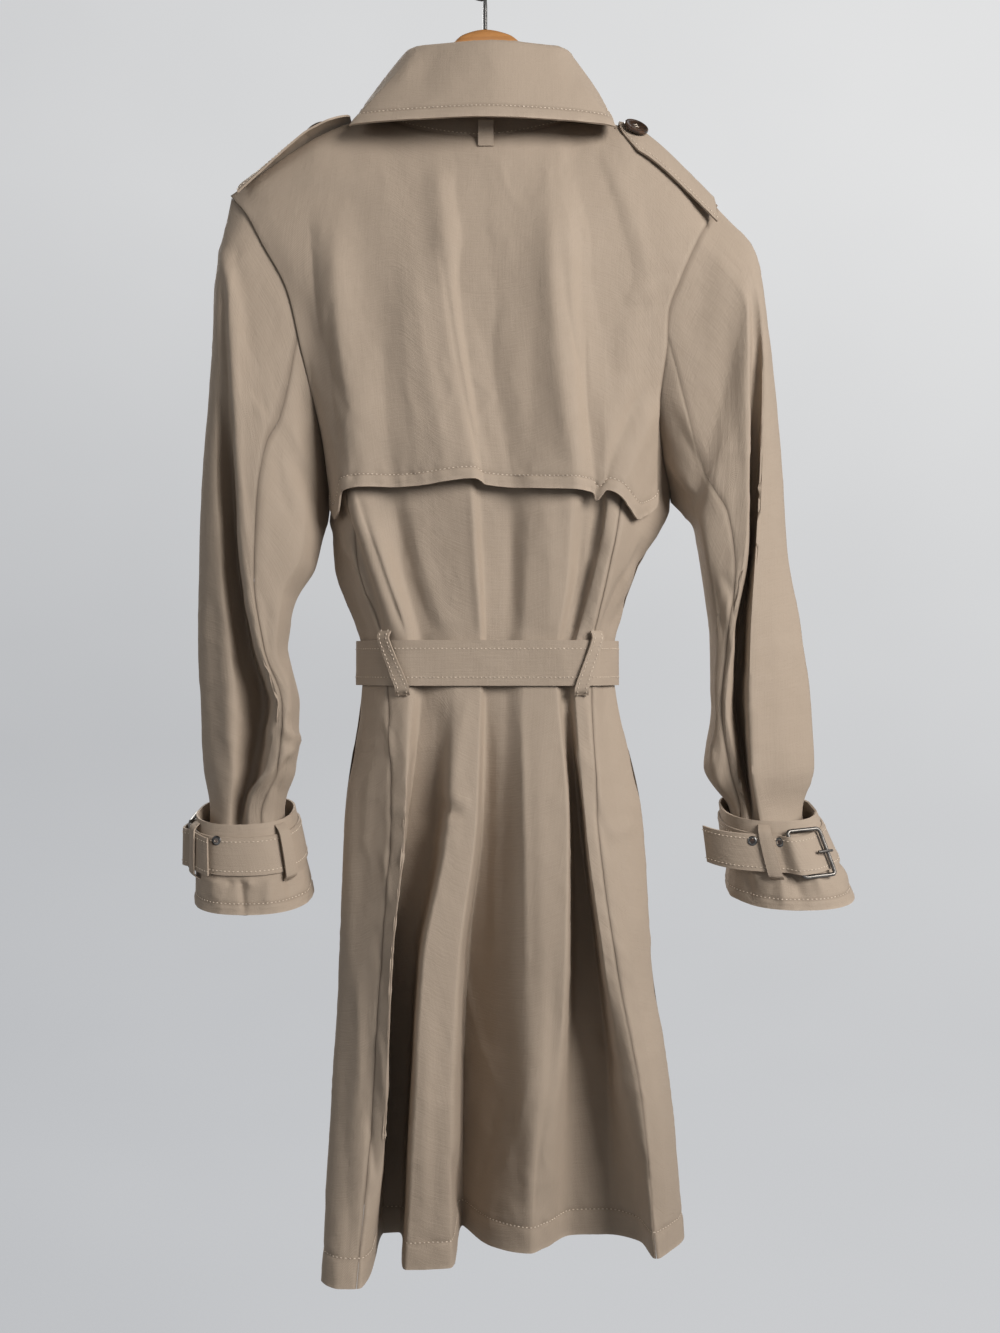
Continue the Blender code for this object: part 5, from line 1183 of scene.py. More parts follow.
def make_gabardine(look):
    """Washed cotton twill: fine diagonal ribs, level slubs, cloudy tone, edges paler by wear and a painted
    highlight, grooves darker by painted shade and dirt.
    """
    nodes = Nodes("gabardine")
    cloth, place = nodes.cloth_place(), nodes.object_place()
    axes = nodes.add("ShaderNodeSeparateXYZ", cloth)
    across, down = axes.outputs["X"], axes.outputs["Y"]
    rib = nodes.times(nodes.maths("ADD", nodes.times(across, 1.35), down), 2 * math.pi)
    rib = nodes.maths("SINE", nodes.times(rib, look.ribs_per_metre))
    rib = nodes.between(rib, -1.0, 1.0)
    slub = nodes.cloud(nodes.stretch(cloth, (42.0, 480.0, 1.0)), 1.0, 4.0, 0.65)
    upright = nodes.cloud(nodes.stretch(cloth, (560.0, 22.0, 1.0)), 1.0, 3.0, 0.6)
    grain = nodes.maths("ADD", nodes.times(slub, 0.65), nodes.times(upright, 0.35))
    broad = nodes.cloud(place, 9.0, 4.0, 0.6)
    fine = nodes.cloud(place, 70.0, 5.0, 0.62)
    colour = look.cloth_colour
    tone = nodes.blend(nodes.between(broad, 0.3, 0.7), shade(colour, 0.9, 1.025), shade(colour, 1.06, 0.985))
    tone = nodes.blend(nodes.between(grain, 0.34, 0.68, 0.0, 0.8), tone, shade(colour, 1.26, 1.0))
    tone = nodes.blend(nodes.between(fine, 0.35, 0.7, 0.0, 0.22), tone, shade(colour, 0.74, 1.02))
    tone = nodes.blend(nodes.times(rib, 0.18), shade(colour, 0.9), tone)
    patchy = nodes.between(nodes.cloud(place, 160.0), 0.35, 0.65, 0.1, 0.5)
    # Wear and a painted highlight make the edges paler, in patches.
    worn_and_lit_edges = nodes.times(nodes.mark("wear_and_highlight"), patchy)
    tone = nodes.blend(worn_and_lit_edges, tone, shade(colour, 1.3, 0.99))
    # Painted shade, with some dirt, darkens the seam and hem grooves.
    tone = nodes.blend(nodes.times(nodes.mark("seam"), 0.6), tone, shade(colour, 0.38, 1.06))
    roughness = nodes.between(fine, 0.3, 0.7, 0.66, 0.8)
    creep = nodes.cloud(nodes.stretch(cloth, (44.0, 26.0, 1.0)), 1.0, 3.0, 0.5)
    normal = nodes.bump(creep, 0.0015, strength=0.6)
    normal = nodes.bump(grain, 0.0006, normal, 0.8)
    normal = nodes.bump(rib, 0.00007, normal, 0.8)
    nodes.surface(base_color=tone, roughness=roughness, normal=normal, sheen_weight=0.18,
                  sheen_roughness=0.45, specular_ior_level=0.32)
    nodes.shader.inputs["Sheen Tint"].default_value = shade(colour, 1.9)
    return nodes.item


def make_thread(look):
    """Twisted sewing thread, near the cloth in tone."""
    nodes = Nodes("thread")
    place = nodes.object_place()
    tone = nodes.cloud(place, 240.0, 2.0)
    colour = nodes.blend(nodes.between(tone, 0.35, 0.65), shade(look.thread_colour, 0.8),
                         shade(look.thread_colour, 1.15))
    normal = nodes.bump(nodes.cloud(place, 2600.0, 2.0), 0.00012)
    nodes.surface(base_color=colour, roughness=0.62, normal=normal, sheen_weight=0.1, specular_ior_level=0.35)
    return nodes.item


def make_horn(look):
    """Dark polished horn with smoky streaks."""
    nodes = Nodes("dark_horn")
    place = nodes.object_place()
    smoke = nodes.cloud(nodes.stretch(place, (1.0, 1.0, 3.2)), 95.0, 4.0, 0.6)
    spot = nodes.cloud(place, 420.0, 2.0)
    colour = nodes.blend(nodes.between(smoke, 0.4, 0.68), shade(look.horn_colour, 0.5),
                         shade(look.horn_colour, 2.1, 1.1))
    colour = nodes.blend(nodes.between(spot, 0.6, 0.75, 0.0, 0.4), colour, shade(look.horn_colour, 2.8))
    normal = nodes.bump(nodes.cloud(place, 1500.0, 3.0), 0.00004)
    nodes.surface(base_color=colour, roughness=nodes.between(smoke, 0.3, 0.7, 0.2, 0.34), normal=normal,
                  coat_weight=0.35, coat_roughness=0.12, specular_ior_level=0.5)
    return nodes.item


def make_metal(name, colour, rough):
    """Dark plated metal, brushed by wear and dulled in patches."""
    nodes = Nodes(name)
    place = nodes.object_place()
    patch = nodes.cloud(place, 190.0, 4.0, 0.6)
    scratch = nodes.cloud(nodes.stretch(place, (1.0, 1.0, 14.0)), 420.0, 3.0, 0.6)
    tone = nodes.blend(nodes.between(patch, 0.35, 0.68), shade(colour, 0.7), shade(colour, 1.35, 1.02))
    tone = nodes.blend(nodes.between(scratch, 0.6, 0.75, 0.0, 0.35), tone, shade(colour, 2.4))
    roughness = nodes.between(nodes.maths("ADD", patch, nodes.times(scratch, 0.5)), 0.5, 1.0,
                              rough - 0.08, rough + 0.12)
    normal = nodes.bump(scratch, 0.00003, strength=0.6)
    nodes.surface(base_color=tone, roughness=roughness, normal=normal, metallic=1.0)
    return nodes.item


def make_gunmetal(look):
    return make_metal("gunmetal", look.metal_colour, 0.34)


def make_steel(look):
    return make_metal("dark_steel", look.steel_colour, 0.3)


def make_beech(look):
    """Varnished honey beech: long grain, short dark flecks."""
    nodes = Nodes("beech")
    place = nodes.object_place()
    bend = nodes.cloud(nodes.stretch(place, (2.0, 12.0, 12.0)), 1.0, 2.0)
    axes = nodes.add("ShaderNodeSeparateXYZ", place)
    rings = nodes.maths("ADD", nodes.times(axes.outputs["Z"], 900.0),
                        nodes.times(bend, 26.0))
    rings = nodes.between(nodes.maths("SINE", rings), -1.0, 1.0)
    fleck = nodes.cloud(nodes.stretch(place, (140.0, 1500.0, 1500.0)), 1.0, 2.0)
    pore = nodes.cloud(nodes.stretch(place, (40.0, 800.0, 800.0)), 1.0, 4.0, 0.65)
    colour = look.wood_colour
    tone = nodes.blend(nodes.times(rings, 0.6), shade(colour, 0.8, 1.03), shade(colour, 1.12))
    tone = nodes.blend(nodes.between(pore, 0.4, 0.7, 0.0, 0.4), tone, shade(colour, 0.62, 1.05))
    tone = nodes.blend(nodes.between(fleck, 0.62, 0.7, 0.0, 0.5), tone, shade(colour, 0.5, 1.06))
    normal = nodes.bump(pore, 0.00012, strength=0.5)
    nodes.surface(base_color=tone, roughness=nodes.between(pore, 0.3, 0.7, 0.36, 0.5), normal=normal,
                  coat_weight=0.45, coat_roughness=0.22)
    return nodes.item


def make_studio(look):
    """Pale wall and floor that glow with painted light, fading a little towards the lower left as painted
    shade.
    """
    nodes = Nodes("studio")
    place = nodes.object_place()
    axes = nodes.add("ShaderNodeSeparateXYZ", place)
    # Painted light: the glow is brighter towards the top and the right, dimmer at the lower left.
    rise = nodes.between(axes.outputs["Z"], -1.6, 1.2)
    side = nodes.between(axes.outputs["X"], -2.2, 2.2)
    light = nodes.maths("ADD", nodes.times(rise, 0.55), nodes.times(side, 0.45))
    light = nodes.maths("ADD", light, nodes.between(nodes.cloud(place, 1.3, 2.0), 0.3, 0.7, -0.02, 0.02))
    colour = nodes.blend(light, (*look.wall_shaded_glow_colour, 1.0), (*look.wall_lit_glow_colour, 1.0))
    # The sweep glows with this painted light, though it is no lamp.
    glow = nodes.tree.nodes["Principled BSDF"]
    nodes.give(glow.inputs["Emission Color"], colour)
    glow.inputs["Emission Strength"].default_value = 0.86
    nodes.surface(base_color=shade(look.wall_shaded_glow_colour, 0.28), roughness=0.9, specular_ior_level=0.1)
    nodes.give(glow.inputs["Normal"], nodes.bump(nodes.cloud(place, 90.0, 3.0), 0.0006))
    return nodes.item


MATERIAL_MAKERS = dict(gabardine=make_gabardine, thread=make_thread, dark_horn=make_horn, beech=make_beech,
                       gunmetal=make_gunmetal, dark_steel=make_steel, studio=make_studio)
MADE = {}


def finish(name):
    """The coat's material of that name, made the first time it is asked for."""
    if name not in MADE:
        MADE[name] = MATERIAL_MAKERS[name](bpy.context.scene.coat_look)
    return MADE[name]


# ---------- the main cloth
CENTRE_STEP = 1 / 12
ROW_STEP = 4.6
FRONT_STEP = 7.0
# Drop of a pocket's middle, and how far above and below it the front stays flat.
POCKET_MIDDLE = 808
POCKET_QUIET = 110
BELT_QUIET = 12.0
FLAP_END = 470.0


def quiet_back(drops, columns):
    """Share of the creases that a back panel keeps: none under the flap and the belt."""
    under_flap = np.clip((drops - FLAP_END) / 16.0, 0, 1)
    off_belt = np.maximum(BELT_TOP - drops, drops - BELT_BOTTOM)
    share = under_flap * np.clip(off_belt / BELT_QUIET, 0, 1)
    return np.repeat(share[:, None], columns, axis=1)


def build_back():
    drops = rows_with_hem(STATIONS["top"], HEM_DROP, ROW_STEP, COAT_HEM)
    panels = (("side_back_l", 0, SEAM_L, dict(left=0.3, right=0.9, top=0.0)),
              ("back_centre", SEAM_L, SEAM_R, dict(left=0.9, right=0.5, top=0.0)),
              ("side_back_r", SEAM_R, BACK_LAST, dict(left=0.5, right=0.3, top=0.0)))
    for node, first, last, sewn in panels:
        across = spaced(first, last, CENTRE_STEP)
        grid = back_form(across, drops)
        lay_cloth(node, grid, sewn=sewn, hem=COAT_HEM, quiet=quiet_back(drops, len(across)), family="back")


def build_fronts():
    drops = rows_with_hem(STATIONS["top"], HEM_DROP, FRONT_STEP, COAT_HEM)
    for side, letter in SIDES:
        across = spaced(0, FRONT_LAST, 0.1)
        grid = front_form(side)(across, drops)
        quiet = quiet_back(drops, len(across))
        quiet *= np.clip((across[None, :] - 1.6) / 0.4, 0.0, 1) + (
            np.abs(drops - POCKET_MIDDLE) > POCKET_QUIET)[:, None]
        lay_cloth("front_" + letter, grid, side < 0, sewn=dict(left=0.3, top=0.0), hem=COAT_HEM,
                  quiet=np.clip(quiet, 0, 1), uneven=0.3)


def build_sleeves():
    rows = spaced(0, 9, SLEEVE_ROW_STEP)
    for side, letter in SIDES:
        form = sleeve_form(side)
        top = spaced(SLEEVE_SEAM_BACK, SLEEVE_SEAM_FRONT, SLEEVE_LINE_STEP)
        under = spaced(SLEEVE_SEAM_FRONT, SLEEVE_LINES + SLEEVE_SEAM_BACK, SLEEVE_LINE_STEP)
        for node, across in (("top_sleeve_", top), ("under_sleeve_", under)):
            grid = form(across % SLEEVE_LINES if node == "top_sleeve_" else across, rows)
            quiet = np.clip((8.6 - rows) / 0.6, 0, 1)[:, None] * np.clip(rows / 0.5, 0, 1)[:, None]
            quiet = np.broadcast_to(quiet, grid.shape[:2])
            lay_cloth(node + letter, grid, side < 0, sewn=dict(left=0.5, right=0.5, top=0.35), quiet=quiet,
                      family="sleeve_" + letter)


def eased(outward, times):
    """Outward directions evened out across a grid, so that a layer far off it does not fold into itself."""
    for _ in range(times):
        beside = np.concatenate([outward[:, :1], outward, outward[:, -1:]], axis=1)
        outward = unit(beside[:, :-2] + beside[:, 1:-1] + beside[:, 2:])
    return outward


def build_flap():
    lines = spaced(0, BACK_LAST, CENTRE_STEP)
    hem = smooth(FLAP_HEM_LINE, FLAP_HEM_DROP, lines)[:, 0]
    rows = rows_with_hem(*FLAP_ROWS, FLAP_STEP, FLAP_HEM)[:, None]
    free = np.clip((rows - FLAP_FREE_DROP) / (rows[-1] - FLAP_FREE_DROP), 0, 1)
    down = rows + free * (hem - rows[-1])
    middle = lines[-1] / 2
    across = middle + (lines - middle) * (1 - free * FLAP_EDGE_IN / middle)
    share = (rows - rows[0]) / (rows[-1] - rows[0])
    edge = np.minimum(lines, lines[-1] - lines) / 3
    edge = FLAP_EDGE_SHARE + (1 - FLAP_EDGE_SHARE) * np.clip(edge, 0, 1)
    lift = FLAP_LIFT_TOP + FLAP_LIFT_HEM * share ** 2 * edge
    ground = read_form(back_form, across, down)
    grid = ground + eased(directions(ground), FLAP_EASE) * (lift + WALL)[..., None]
    quiet = np.clip(share / 0.05, 0, 1) * np.ones_like(lift)
    lay_cloth("storm_flap", grid, sewn=dict(left=0.0, right=0.0, top=0.0), hem=FLAP_HEM, quiet=quiet,
              lowest=0.3 - lift, bevels=(0.0, 0.0))


def build_lapels():
    for side, letter in SIDES:
        rows = spaced(*LAPEL_ROWS, 4.0)
        share = np.linspace(0, 1, 40)
        width = smooth((rows[0], 300, rows[-1]), (1.5, 2.4, 0.5), rows)
        across = 5.97 - width * (1 - share)
        down = np.broadcast_to(rows[:, None], across.shape)
        lift = 0.85 + 2.0 * (1 - share) * (rows[:, None] - rows[0]) / 200
        ground = read_form(front_form(side), across, down)
        grid = ground + directions(ground, flip=side < 0) * (lift + WALL)[..., None]
        lay_cloth("lapel_" + letter, grid, side < 0, sewn=dict(top=0.0), uneven=0.15, lowest=-0.2,
                  bevels=(0.0, 0.0))


def build_pockets():
    for side, letter in SIDES:
        down, across = np.meshgrid(spaced(*POCKET_ROWS, 4.0),
                                   spaced(*POCKET_LINES, 0.05), indexing="ij")
        ground = read_form(front_form(side), across, down)
        grid = ground + directions(ground, flip=side < 0) * (0.7 + WALL)
        lay_cloth("pocket_welt_" + letter, grid, side < 0, uneven=0.2, lowest=-0.2)


# ---------- collar, loop tab and epaulets
def build_collar():
    place = np.linspace(0, len(COLLAR) - 1, COLLAR_COLUMNS)
    rows = np.array(COLLAR, float)
    top = smooth(range(len(rows)), rows[:, 0], place)
    low = smooth(range(len(rows)), rows[:, 1], place)
    up = np.array([0, 0, 1.0])
    base = neck_edge(place) + up * 4 * SEAM_GAP
    base += unit((top.mean(axis=0) - base) * (1, 1, 0)) * STAND_SET_IN
    stand = np.array([top + (base - top) * share for share in np.linspace(0, 1, STAND_ROWS)])
    outward = directions(stand)
    inner = stand - outward * WALL
    inner[-1, :, 2] = base[:, 2]
    keep_cloth("collar_stand", stand, inner, outward)
    away = unit((low - top) * (1, 1, 0))
    lean = unit(top - (top + (base - top) * 0.33))
    roll = COLLAR_ROLL
    profile = [top - away * WALL + lean * 4 * SEAM_GAP,
               top + away * (0.25 * roll - WALL) + lean * (0.8 * roll),
               top + away * (1.2 * roll) + lean * (1.25 * roll),
               top + away * (2.6 * roll) + lean * (0.6 * roll)]
    for share in (0.4, 0.75, 1.0):
        bow = away * COLLAR_BOW * math.sin(math.pi * share)
        profile.append(profile[3] + share * (low - profile[3]) + bow)
    fall = refine(profile, FALL_ROWS)
    lay_cloth("collar_fall", fall, uneven=0.3, hem=FALL_HEM)


def build_locker_loop():
    centre = neck_edge(np.array([4.0]))[0] + (-1.5, -WALL - 4.2, 0)
    heights, stand_off = np.array([12, 4, -4, -9]), np.array([2.4, 0.8, 0.2, 0.0])
    grid = [[centre + (x, -o - 0.8, h) for x in (-6.5, 0, 6.5)] for h, o in zip(heights, stand_off)]
    grid = refine(grid, 16, 10)
    keep_cloth("locker_loop", grid, grid + (0, 1.2, 0), directions(grid))


def epaulet_form(side):
    armhole_x, point_x, end_rise, rise, end_fall, fall, tilt = EPAULETS["l" if side < 0 else "r"]

    def form(along, across):
        x = armhole_x + along * (point_x - armhole_x)
        seam = seam_height(x, 0 * x)
        lift = smooth((0, 0.12, 0.55, 1), (end_rise, 0.6 * rise + 0.4 * end_rise, rise, end_rise), along)
        narrow = np.clip((1 - along) / (1 - EPAULET_POINT), 0, 1) ** 0.5
        half = EPAULET_HALF_WIDTH * (0.45 + 0.55 * narrow)
        y = across[:, None] * half
        share = y / EPAULET_HALF_WIDTH
        drop = smooth((0, 0.6), (end_fall, fall), along)[:, 0]
        z = seam + lift[:, 0] - drop * np.abs(share) ** 1.8 - tilt * share
        return np.stack([x + 0 * y, y, z], axis=-1)
    return form


def build_epaulets():
    for side, letter in SIDES:
        grid = epaulet_form(side)(np.linspace(0, 1, EPAULET_COLUMNS), np.linspace(-1, 1, EPAULET_ROWS))
        flip = directions(grid)[EPAULET_ROWS // 2, EPAULET_COLUMNS // 2, 2] < 0
        lay_cloth("epaulet_" + letter, grid, flip, uneven=0.25)


# ---------- buttons
def ring_of(radius, height, count=40):
    angle = np.linspace(0, 2 * math.pi, count, endpoint=False)
    return np.stack([radius * np.cos(angle), radius * np.sin(angle), height + 0 * angle], axis=-1)


def plain_object(name, points, faces, material, sharp=35):
    mesh = bpy.data.meshes.new(name)
    mesh.from_pydata((np.asarray(points) * MM).tolist(), [], faces)
    return smooth_object(name, mesh, material, sharp)


def tube_faces(rings, count, first=0):
    """Faces of a tube of rings of places, with a floor at its first ring and then one at its last."""
    faces = [[first + i * count + j, first + i * count + (j + 1) % count,
              first + (i + 1) * count + (j + 1) % count, first + (i + 1) * count + j]
             for i in range(rings - 1) for j in range(count)]
    faces.append([first + j for j in range(count)][::-1])
    faces.append([first + (rings - 1) * count + j for j in range(count)])
    return faces


def turned(name, profile, material, count=40):
    """A closed solid of revolution from a profile of radius and height, top to bottom."""
    points = np.vstack([ring_of(radius, height, count) for radius, height in profile])
    faces = [[i * count + j, (i + 1) * count + j,
              (i + 1) * count + (j + 1) % count, i * count + (j + 1) % count]
             for i in range(len(profile) - 1) for j in range(count)]
    faces.append(list(range(count)))
    faces.append([(len(profile) - 1) * count + j for j in range(count)][::-1])
    return plain_object(name, points, faces, material)


def button_blank():
    """One four-hole button with a raised rim, standing on z = 0."""
    r, h = BUTTON_RADIUS, BUTTON_HEIGHT
    profile = ((1.2, h - 1.1), (4.4, h - 1.15), (r - 3.4, h - 0.95), (r - 2.6, h - 0.5), (r - 2.0, h - 0.1),
               (r - 1.3, h), (r - 0.5, h - 0.3), (r - 0.08, h - 1.0), (r, h * 0.5), (r - 0.4, 0.6),
               (r - 1.3, 0.1), (r - 3.0, 0.0), (1.2, 0.0))
    blank = turned("button_blank", profile, finish("dark_horn"))
    for x, y in ((HOLE, HOLE), (-HOLE, HOLE), (HOLE, -HOLE), (-HOLE, -HOLE)):
        pin = turned("button_pin", ((0.95, h + 2), (0.95, -2)), finish("dark_horn"), 12)
        pin.data.transform(Matrix.Translation((x * MM, y * MM, 0)))
        cut = blank.modifiers.new("Hole", "BOOLEAN")
        cut.operation, cut.object, cut.solver = "DIFFERENCE", pin, "EXACT"
        solid = mesh_of(blank, "button_blank")
        bpy.data.objects.remove(pin, do_unlink=True)
        blank = solid
    return blank


def button_threads():
    """Four strands from hole to hole, just above the dished face."""
    points, faces = [], []
    for start, end in (((HOLE, HOLE), (-HOLE, HOLE)), ((HOLE, -HOLE), (-HOLE, -HOLE))):
        for offset in (-0.35, 0.0, 0.35):
            share = np.linspace(0, 1, 7)[:, None]
            line = np.array(start) + share * (np.array(end) - np.array(start)) + (0, offset)
            height = BUTTON_HEIGHT - 1.9 + 1.35 * np.sin(math.pi * share) ** 0.5
            spine = np.hstack([line, height])
            first = len(points)
            for point in spine:
                for k in range(6):
                    turn = k * math.pi / 3
                    points.append(point + (0, STRAND * math.cos(turn), STRAND * math.sin(turn)))
            faces += tube_faces(len(spine), 6, first)
    return plain_object("button_threads", points, faces, finish("thread"), 80)


def standing(point, outward):
    """Stands a piece that was made on z = 0 at a place, facing outward."""
    turn = Vector((0, 0, 1)).rotation_difference(Vector(outward)).to_matrix().to_4x4()
    return Matrix.Translation(Vector(point) * MM) @ turn


def place_buttons(spots):
    """Copies the button and its threads to each node's place."""
    blank, threads = button_blank(), button_threads()
    for node, (point, outward, turn) in spots.items():
        stand = np.asarray(point) + np.asarray(outward) * BUTTON_GAP
        matrix = standing(stand, outward) @ Matrix.Rotation(turn, 4, "Z")
        for source, name, nodes, slot in ((blank, node + "_horn", [node], "dark_horn"),
                                          (threads, node + "_thread", [], "gabardine")):
            mesh = source.data.copy()
            mesh.name = name
            mesh.transform(matrix)
            take_place(new_object(name, mesh), nodes)
    for source in (blank, threads):
        bpy.data.objects.remove(source, do_unlink=True)


def build_buttons():
    spots = {}
    for side, letter in SIDES:
        form = epaulet_form(side)
        along, across = EPAULET_BUTTONS[letter]
        spot = form(np.array([along, along + 0.02]), across + np.array([-0.12, 0.0, 0.12]))
        up = unit(np.cross(spot[1, 1] - spot[1, 0], spot[2, 0] - spot[0, 0]))
        spots["epaulet_button_" + letter] = (spot[1, 0], up * np.sign(up[2]), 0.4 * side)
    form = front_form(1)
    count = 0
    for drop in FRONT_BUTTON_DROPS:
        lines = np.linspace(0, 6, 241)
        row = form(lines, [float(drop)])[0]
        for x in FRONT_BUTTON_X:
            count += 1
            line = np.interp(x, row[::-1, 0], lines[::-1])
            spot = form(np.array([line]), [float(drop)])[0, 0]
            outward = normals(form, np.array([line]), np.array([float(drop)]))[0, 0]
            spots[f"front_button_{count}"] = (spot, outward, 0.3 * count)
    place_buttons(spots)


# ---------- belt
def outline_round(points, spacing):
    """Convex outline round points in plan, smoothed and evenly spaced, with its outward directions."""
    ordered = sorted(map(tuple, points))

    def half(sequence):
        chain = []
        for point in sequence:
            while len(chain) > 1 and np.cross(np.subtract(chain[-1], chain[-2]),
                                              np.subtract(point, chain[-1])) <= 0:
                chain.pop()
            chain.append(point)
        return chain[:-1]
    hull = np.array(half(ordered) + half(ordered[::-1]))
    closed = np.vstack([hull, hull[:1]])
    length = np.r_[0, np.cumsum(np.linalg.norm(np.diff(closed, axis=0), axis=1))]
    count = int(length[-1] / spacing)
    at = np.linspace(0, length[-1], count, endpoint=False)
    ring = np.stack([np.interp(at, length, closed[:, k]) for k in (0, 1)], axis=-1)
    tangent = np.roll(ring, -2, axis=0) - np.roll(ring, 2, axis=0)
    outward = unit(np.stack([tangent[:, 1], -tangent[:, 0]], axis=-1))
    return ring, outward, length[-1] / count


def waist_outline():
    rows = np.linspace(BELT_TOP - 4, BELT_BOTTOM + 4, 7)
    points = [form(np.linspace(0, last, 120), rows)[..., :2].reshape(-1, 2) for form, last in body_forms()]
    return outline_round(np.vstack(points), 4.0)


def belt_path(start, travel, out):
    """Places along the belt's outline for travel in mm from the start index, moved out."""
    ring, outward, step = waist_outline()
    index = start + np.asarray(travel) / step
    low = np.floor(index).astype(int)
    part = (index - low)[:, None]
    a, b = low % len(ring), (low + 1) % len(ring)
    base = ring[a] + part * (ring[b] - ring[a])
    direction = unit(outward[a] + part * (outward[b] - outward[a]))
    return base + direction * np.asarray(out)[:, None], direction


def wire_piece(node, points, wire, material, cyclic):
    """A round wire along points, as one closed mesh that stands for a node."""
    curve = bpy.data.curves.new(node, "CURVE")
    curve.dimensions = "3D"
    spline = curve.splines.new("POLY")
    spline.points.add(len(points) - 1)
    for target, point in zip(spline.points, points):
        target.co = (*(Vector(point) * MM), 1)
    spline.use_cyclic_u = cyclic
    curve.bevel_depth = wire * MM
    curve.bevel_resolution = 4
    curve.use_fill_caps = not cyclic
    curve.materials.append(finish(material))
    item = mesh_of(new_object(node + "_path", curve), node + "_metal")
    item.data.shade_smooth()
    take_place(item, [node])


def frame_points(centre, along, up, half_length, half_height, wire):
    points = []
    radius = 2 * wire
    for corner, (sx, sy) in enumerate(((1, 1), (-1, 1), (-1, -1), (1, -1))):
        for angle in np.radians(90 * corner + np.linspace(0, 90, 9)):
            x = sx * (half_length - radius) + radius * math.cos(angle)
            y = sy * (half_height - radius) + radius * math.sin(angle)
            points.append(np.asarray(centre) + np.asarray(along) * x + np.asarray(up) * y)
    return points


def prong_points(start, end, off):
    """A pin that tapers by bending a little onto its bar at the tip."""
    start, end = np.asarray(start), np.asarray(end)
    share = np.linspace(0, 1, 12)[:, None]
    return start + share * (end - start) + np.asarray(off) * 0.25 * np.sin(math.pi * share)


def build_belt():
    ring, _, step = waist_outline()
    length = step * len(ring)
    start = int(np.argmin(np.abs(ring[:, 0]) + FAR * (ring[:, 1] < 0)))
    travel = np.arange(0, length + BELT_TAIL, BELT_PITCH / 3)
    high = BELT_GAP + 2 * WALL + BELT_RISE
    rest = BELT_GAP + WALL + BELT_LAYER_GAP
    out = smooth((0, *(length + past for past in BELT_STEPS), length + BELT_TAIL + BELT_PITCH),
                 (BELT_GAP, BELT_GAP, high * 0.8, high, rest, rest), travel)[:, 0]
    path, _ = belt_path(start, travel, out + WALL)
    heights = np.linspace(-BELT_TOP, -BELT_BOTTOM, BELT_ROWS)
    grid = np.array([np.column_stack([path, path[:, 0] * 0 + z]) for z in heights])
    lay_cloth("belt", grid, uneven=0.22, lowest=-0.4)
    centre_2d, normal_2d = belt_path(start, [length + 0.0], [BELT_GAP + WALL + BUCKLE_LIE + BUCKLE_WIRE])
    middle = np.array([*centre_2d[0], -(BELT_TOP + BELT_BOTTOM) / 2])
    along = np.array([-normal_2d[0, 1], normal_2d[0, 0], 0])
    half = BELT_WIDTH / 2 + BUCKLE_WIRE + BUCKLE_MARGIN
    points = frame_points(middle, along, (0, 0, 1), BUCKLE_HALF_LENGTH, half, BUCKLE_WIRE)
    wire_piece("belt_buckle", points, BUCKLE_WIRE, "gunmetal", True)
    bar_top = BELT_GAP + WALL + BUCKLE_LIE + 2 * BUCKLE_WIRE + SEAM_GAP + PRONG_WIRE
    pin, _ = belt_path(start, [length - BUCKLE_HALF_LENGTH - 3, length - 3], [bar_top, bar_top + 2.5])
    ends = np.column_stack([pin, middle[2] + 0 * pin[:, 0]])
    wire_piece("belt_prong", prong_points(ends[0], ends[1], (*normal_2d[0], 0)), PRONG_WIRE, "gunmetal",
               False)


def reach(place, direction, height, half_width):
    """How far the body reaches in a plan direction near a place, at one height."""
    side = np.array([-direction[1], direction[0]])
    rows = [form(np.linspace(0, last, 200), [-height])[0, :, :2] for form, last in body_forms()]
    offset = np.vstack(rows) - place
    near = np.abs(offset @ side) < half_width
    return (offset @ direction)[near].max()


def build_belt_loops():
    ring, outward, _ = waist_outline()
    over = BELT_GAP + WALL + BELT_LAYER_GAP
    top, bottom = -BELT_TOP, -BELT_BOTTOM
    for letter, (top_x, bottom_x) in BELT_LOOPS.items():
        rows = []
        for z, out in ((top + BELT_LOOP_REACH, None), (top + 2, over), (bottom - 2, over),
                       (bottom - BELT_LOOP_REACH, None)):
            x = bottom_x + (top_x - bottom_x) * (z - bottom) / BELT_WIDTH
            index = int(np.argmin(np.abs(ring[:, 0] - x) + FAR * (ring[:, 1] > 0)))
            centre, direction = ring[index], outward[index]
            side = np.array([-direction[1], direction[0]])
            if out is None:
                out = reach(centre, direction, z, BELT_LOOP_WIDTH) + 0.6
            rows.append([[*(centre + side * w + direction * (out + WALL)), z]
                         for w in (-BELT_LOOP_WIDTH / 2, 0, BELT_LOOP_WIDTH / 2)])
        grid = refine(rows, 40, 13)
        lay_cloth("belt_loop_" + letter, grid, uneven=0.1)


# ---------- cuffs
# Places of the eyelets on each strap, counted as the creases are, and their profile from the middle out.
EYELETS = dict(l=((216, 841),), r=((753, 841), (779, 841)))
EYELET_RING = ((2.0, 0.1), (2.3, 0.7), (3.0, 0.9), (3.7, 0.6), (4.1, 0.2), (4.0, -0.4), (2.0, -0.4))
# A dark horn disc in each ring: painted shade that stands for the hole.
EYELET_SHADE_DISC = ((2.2, 0.3), (2.2, -0.3))


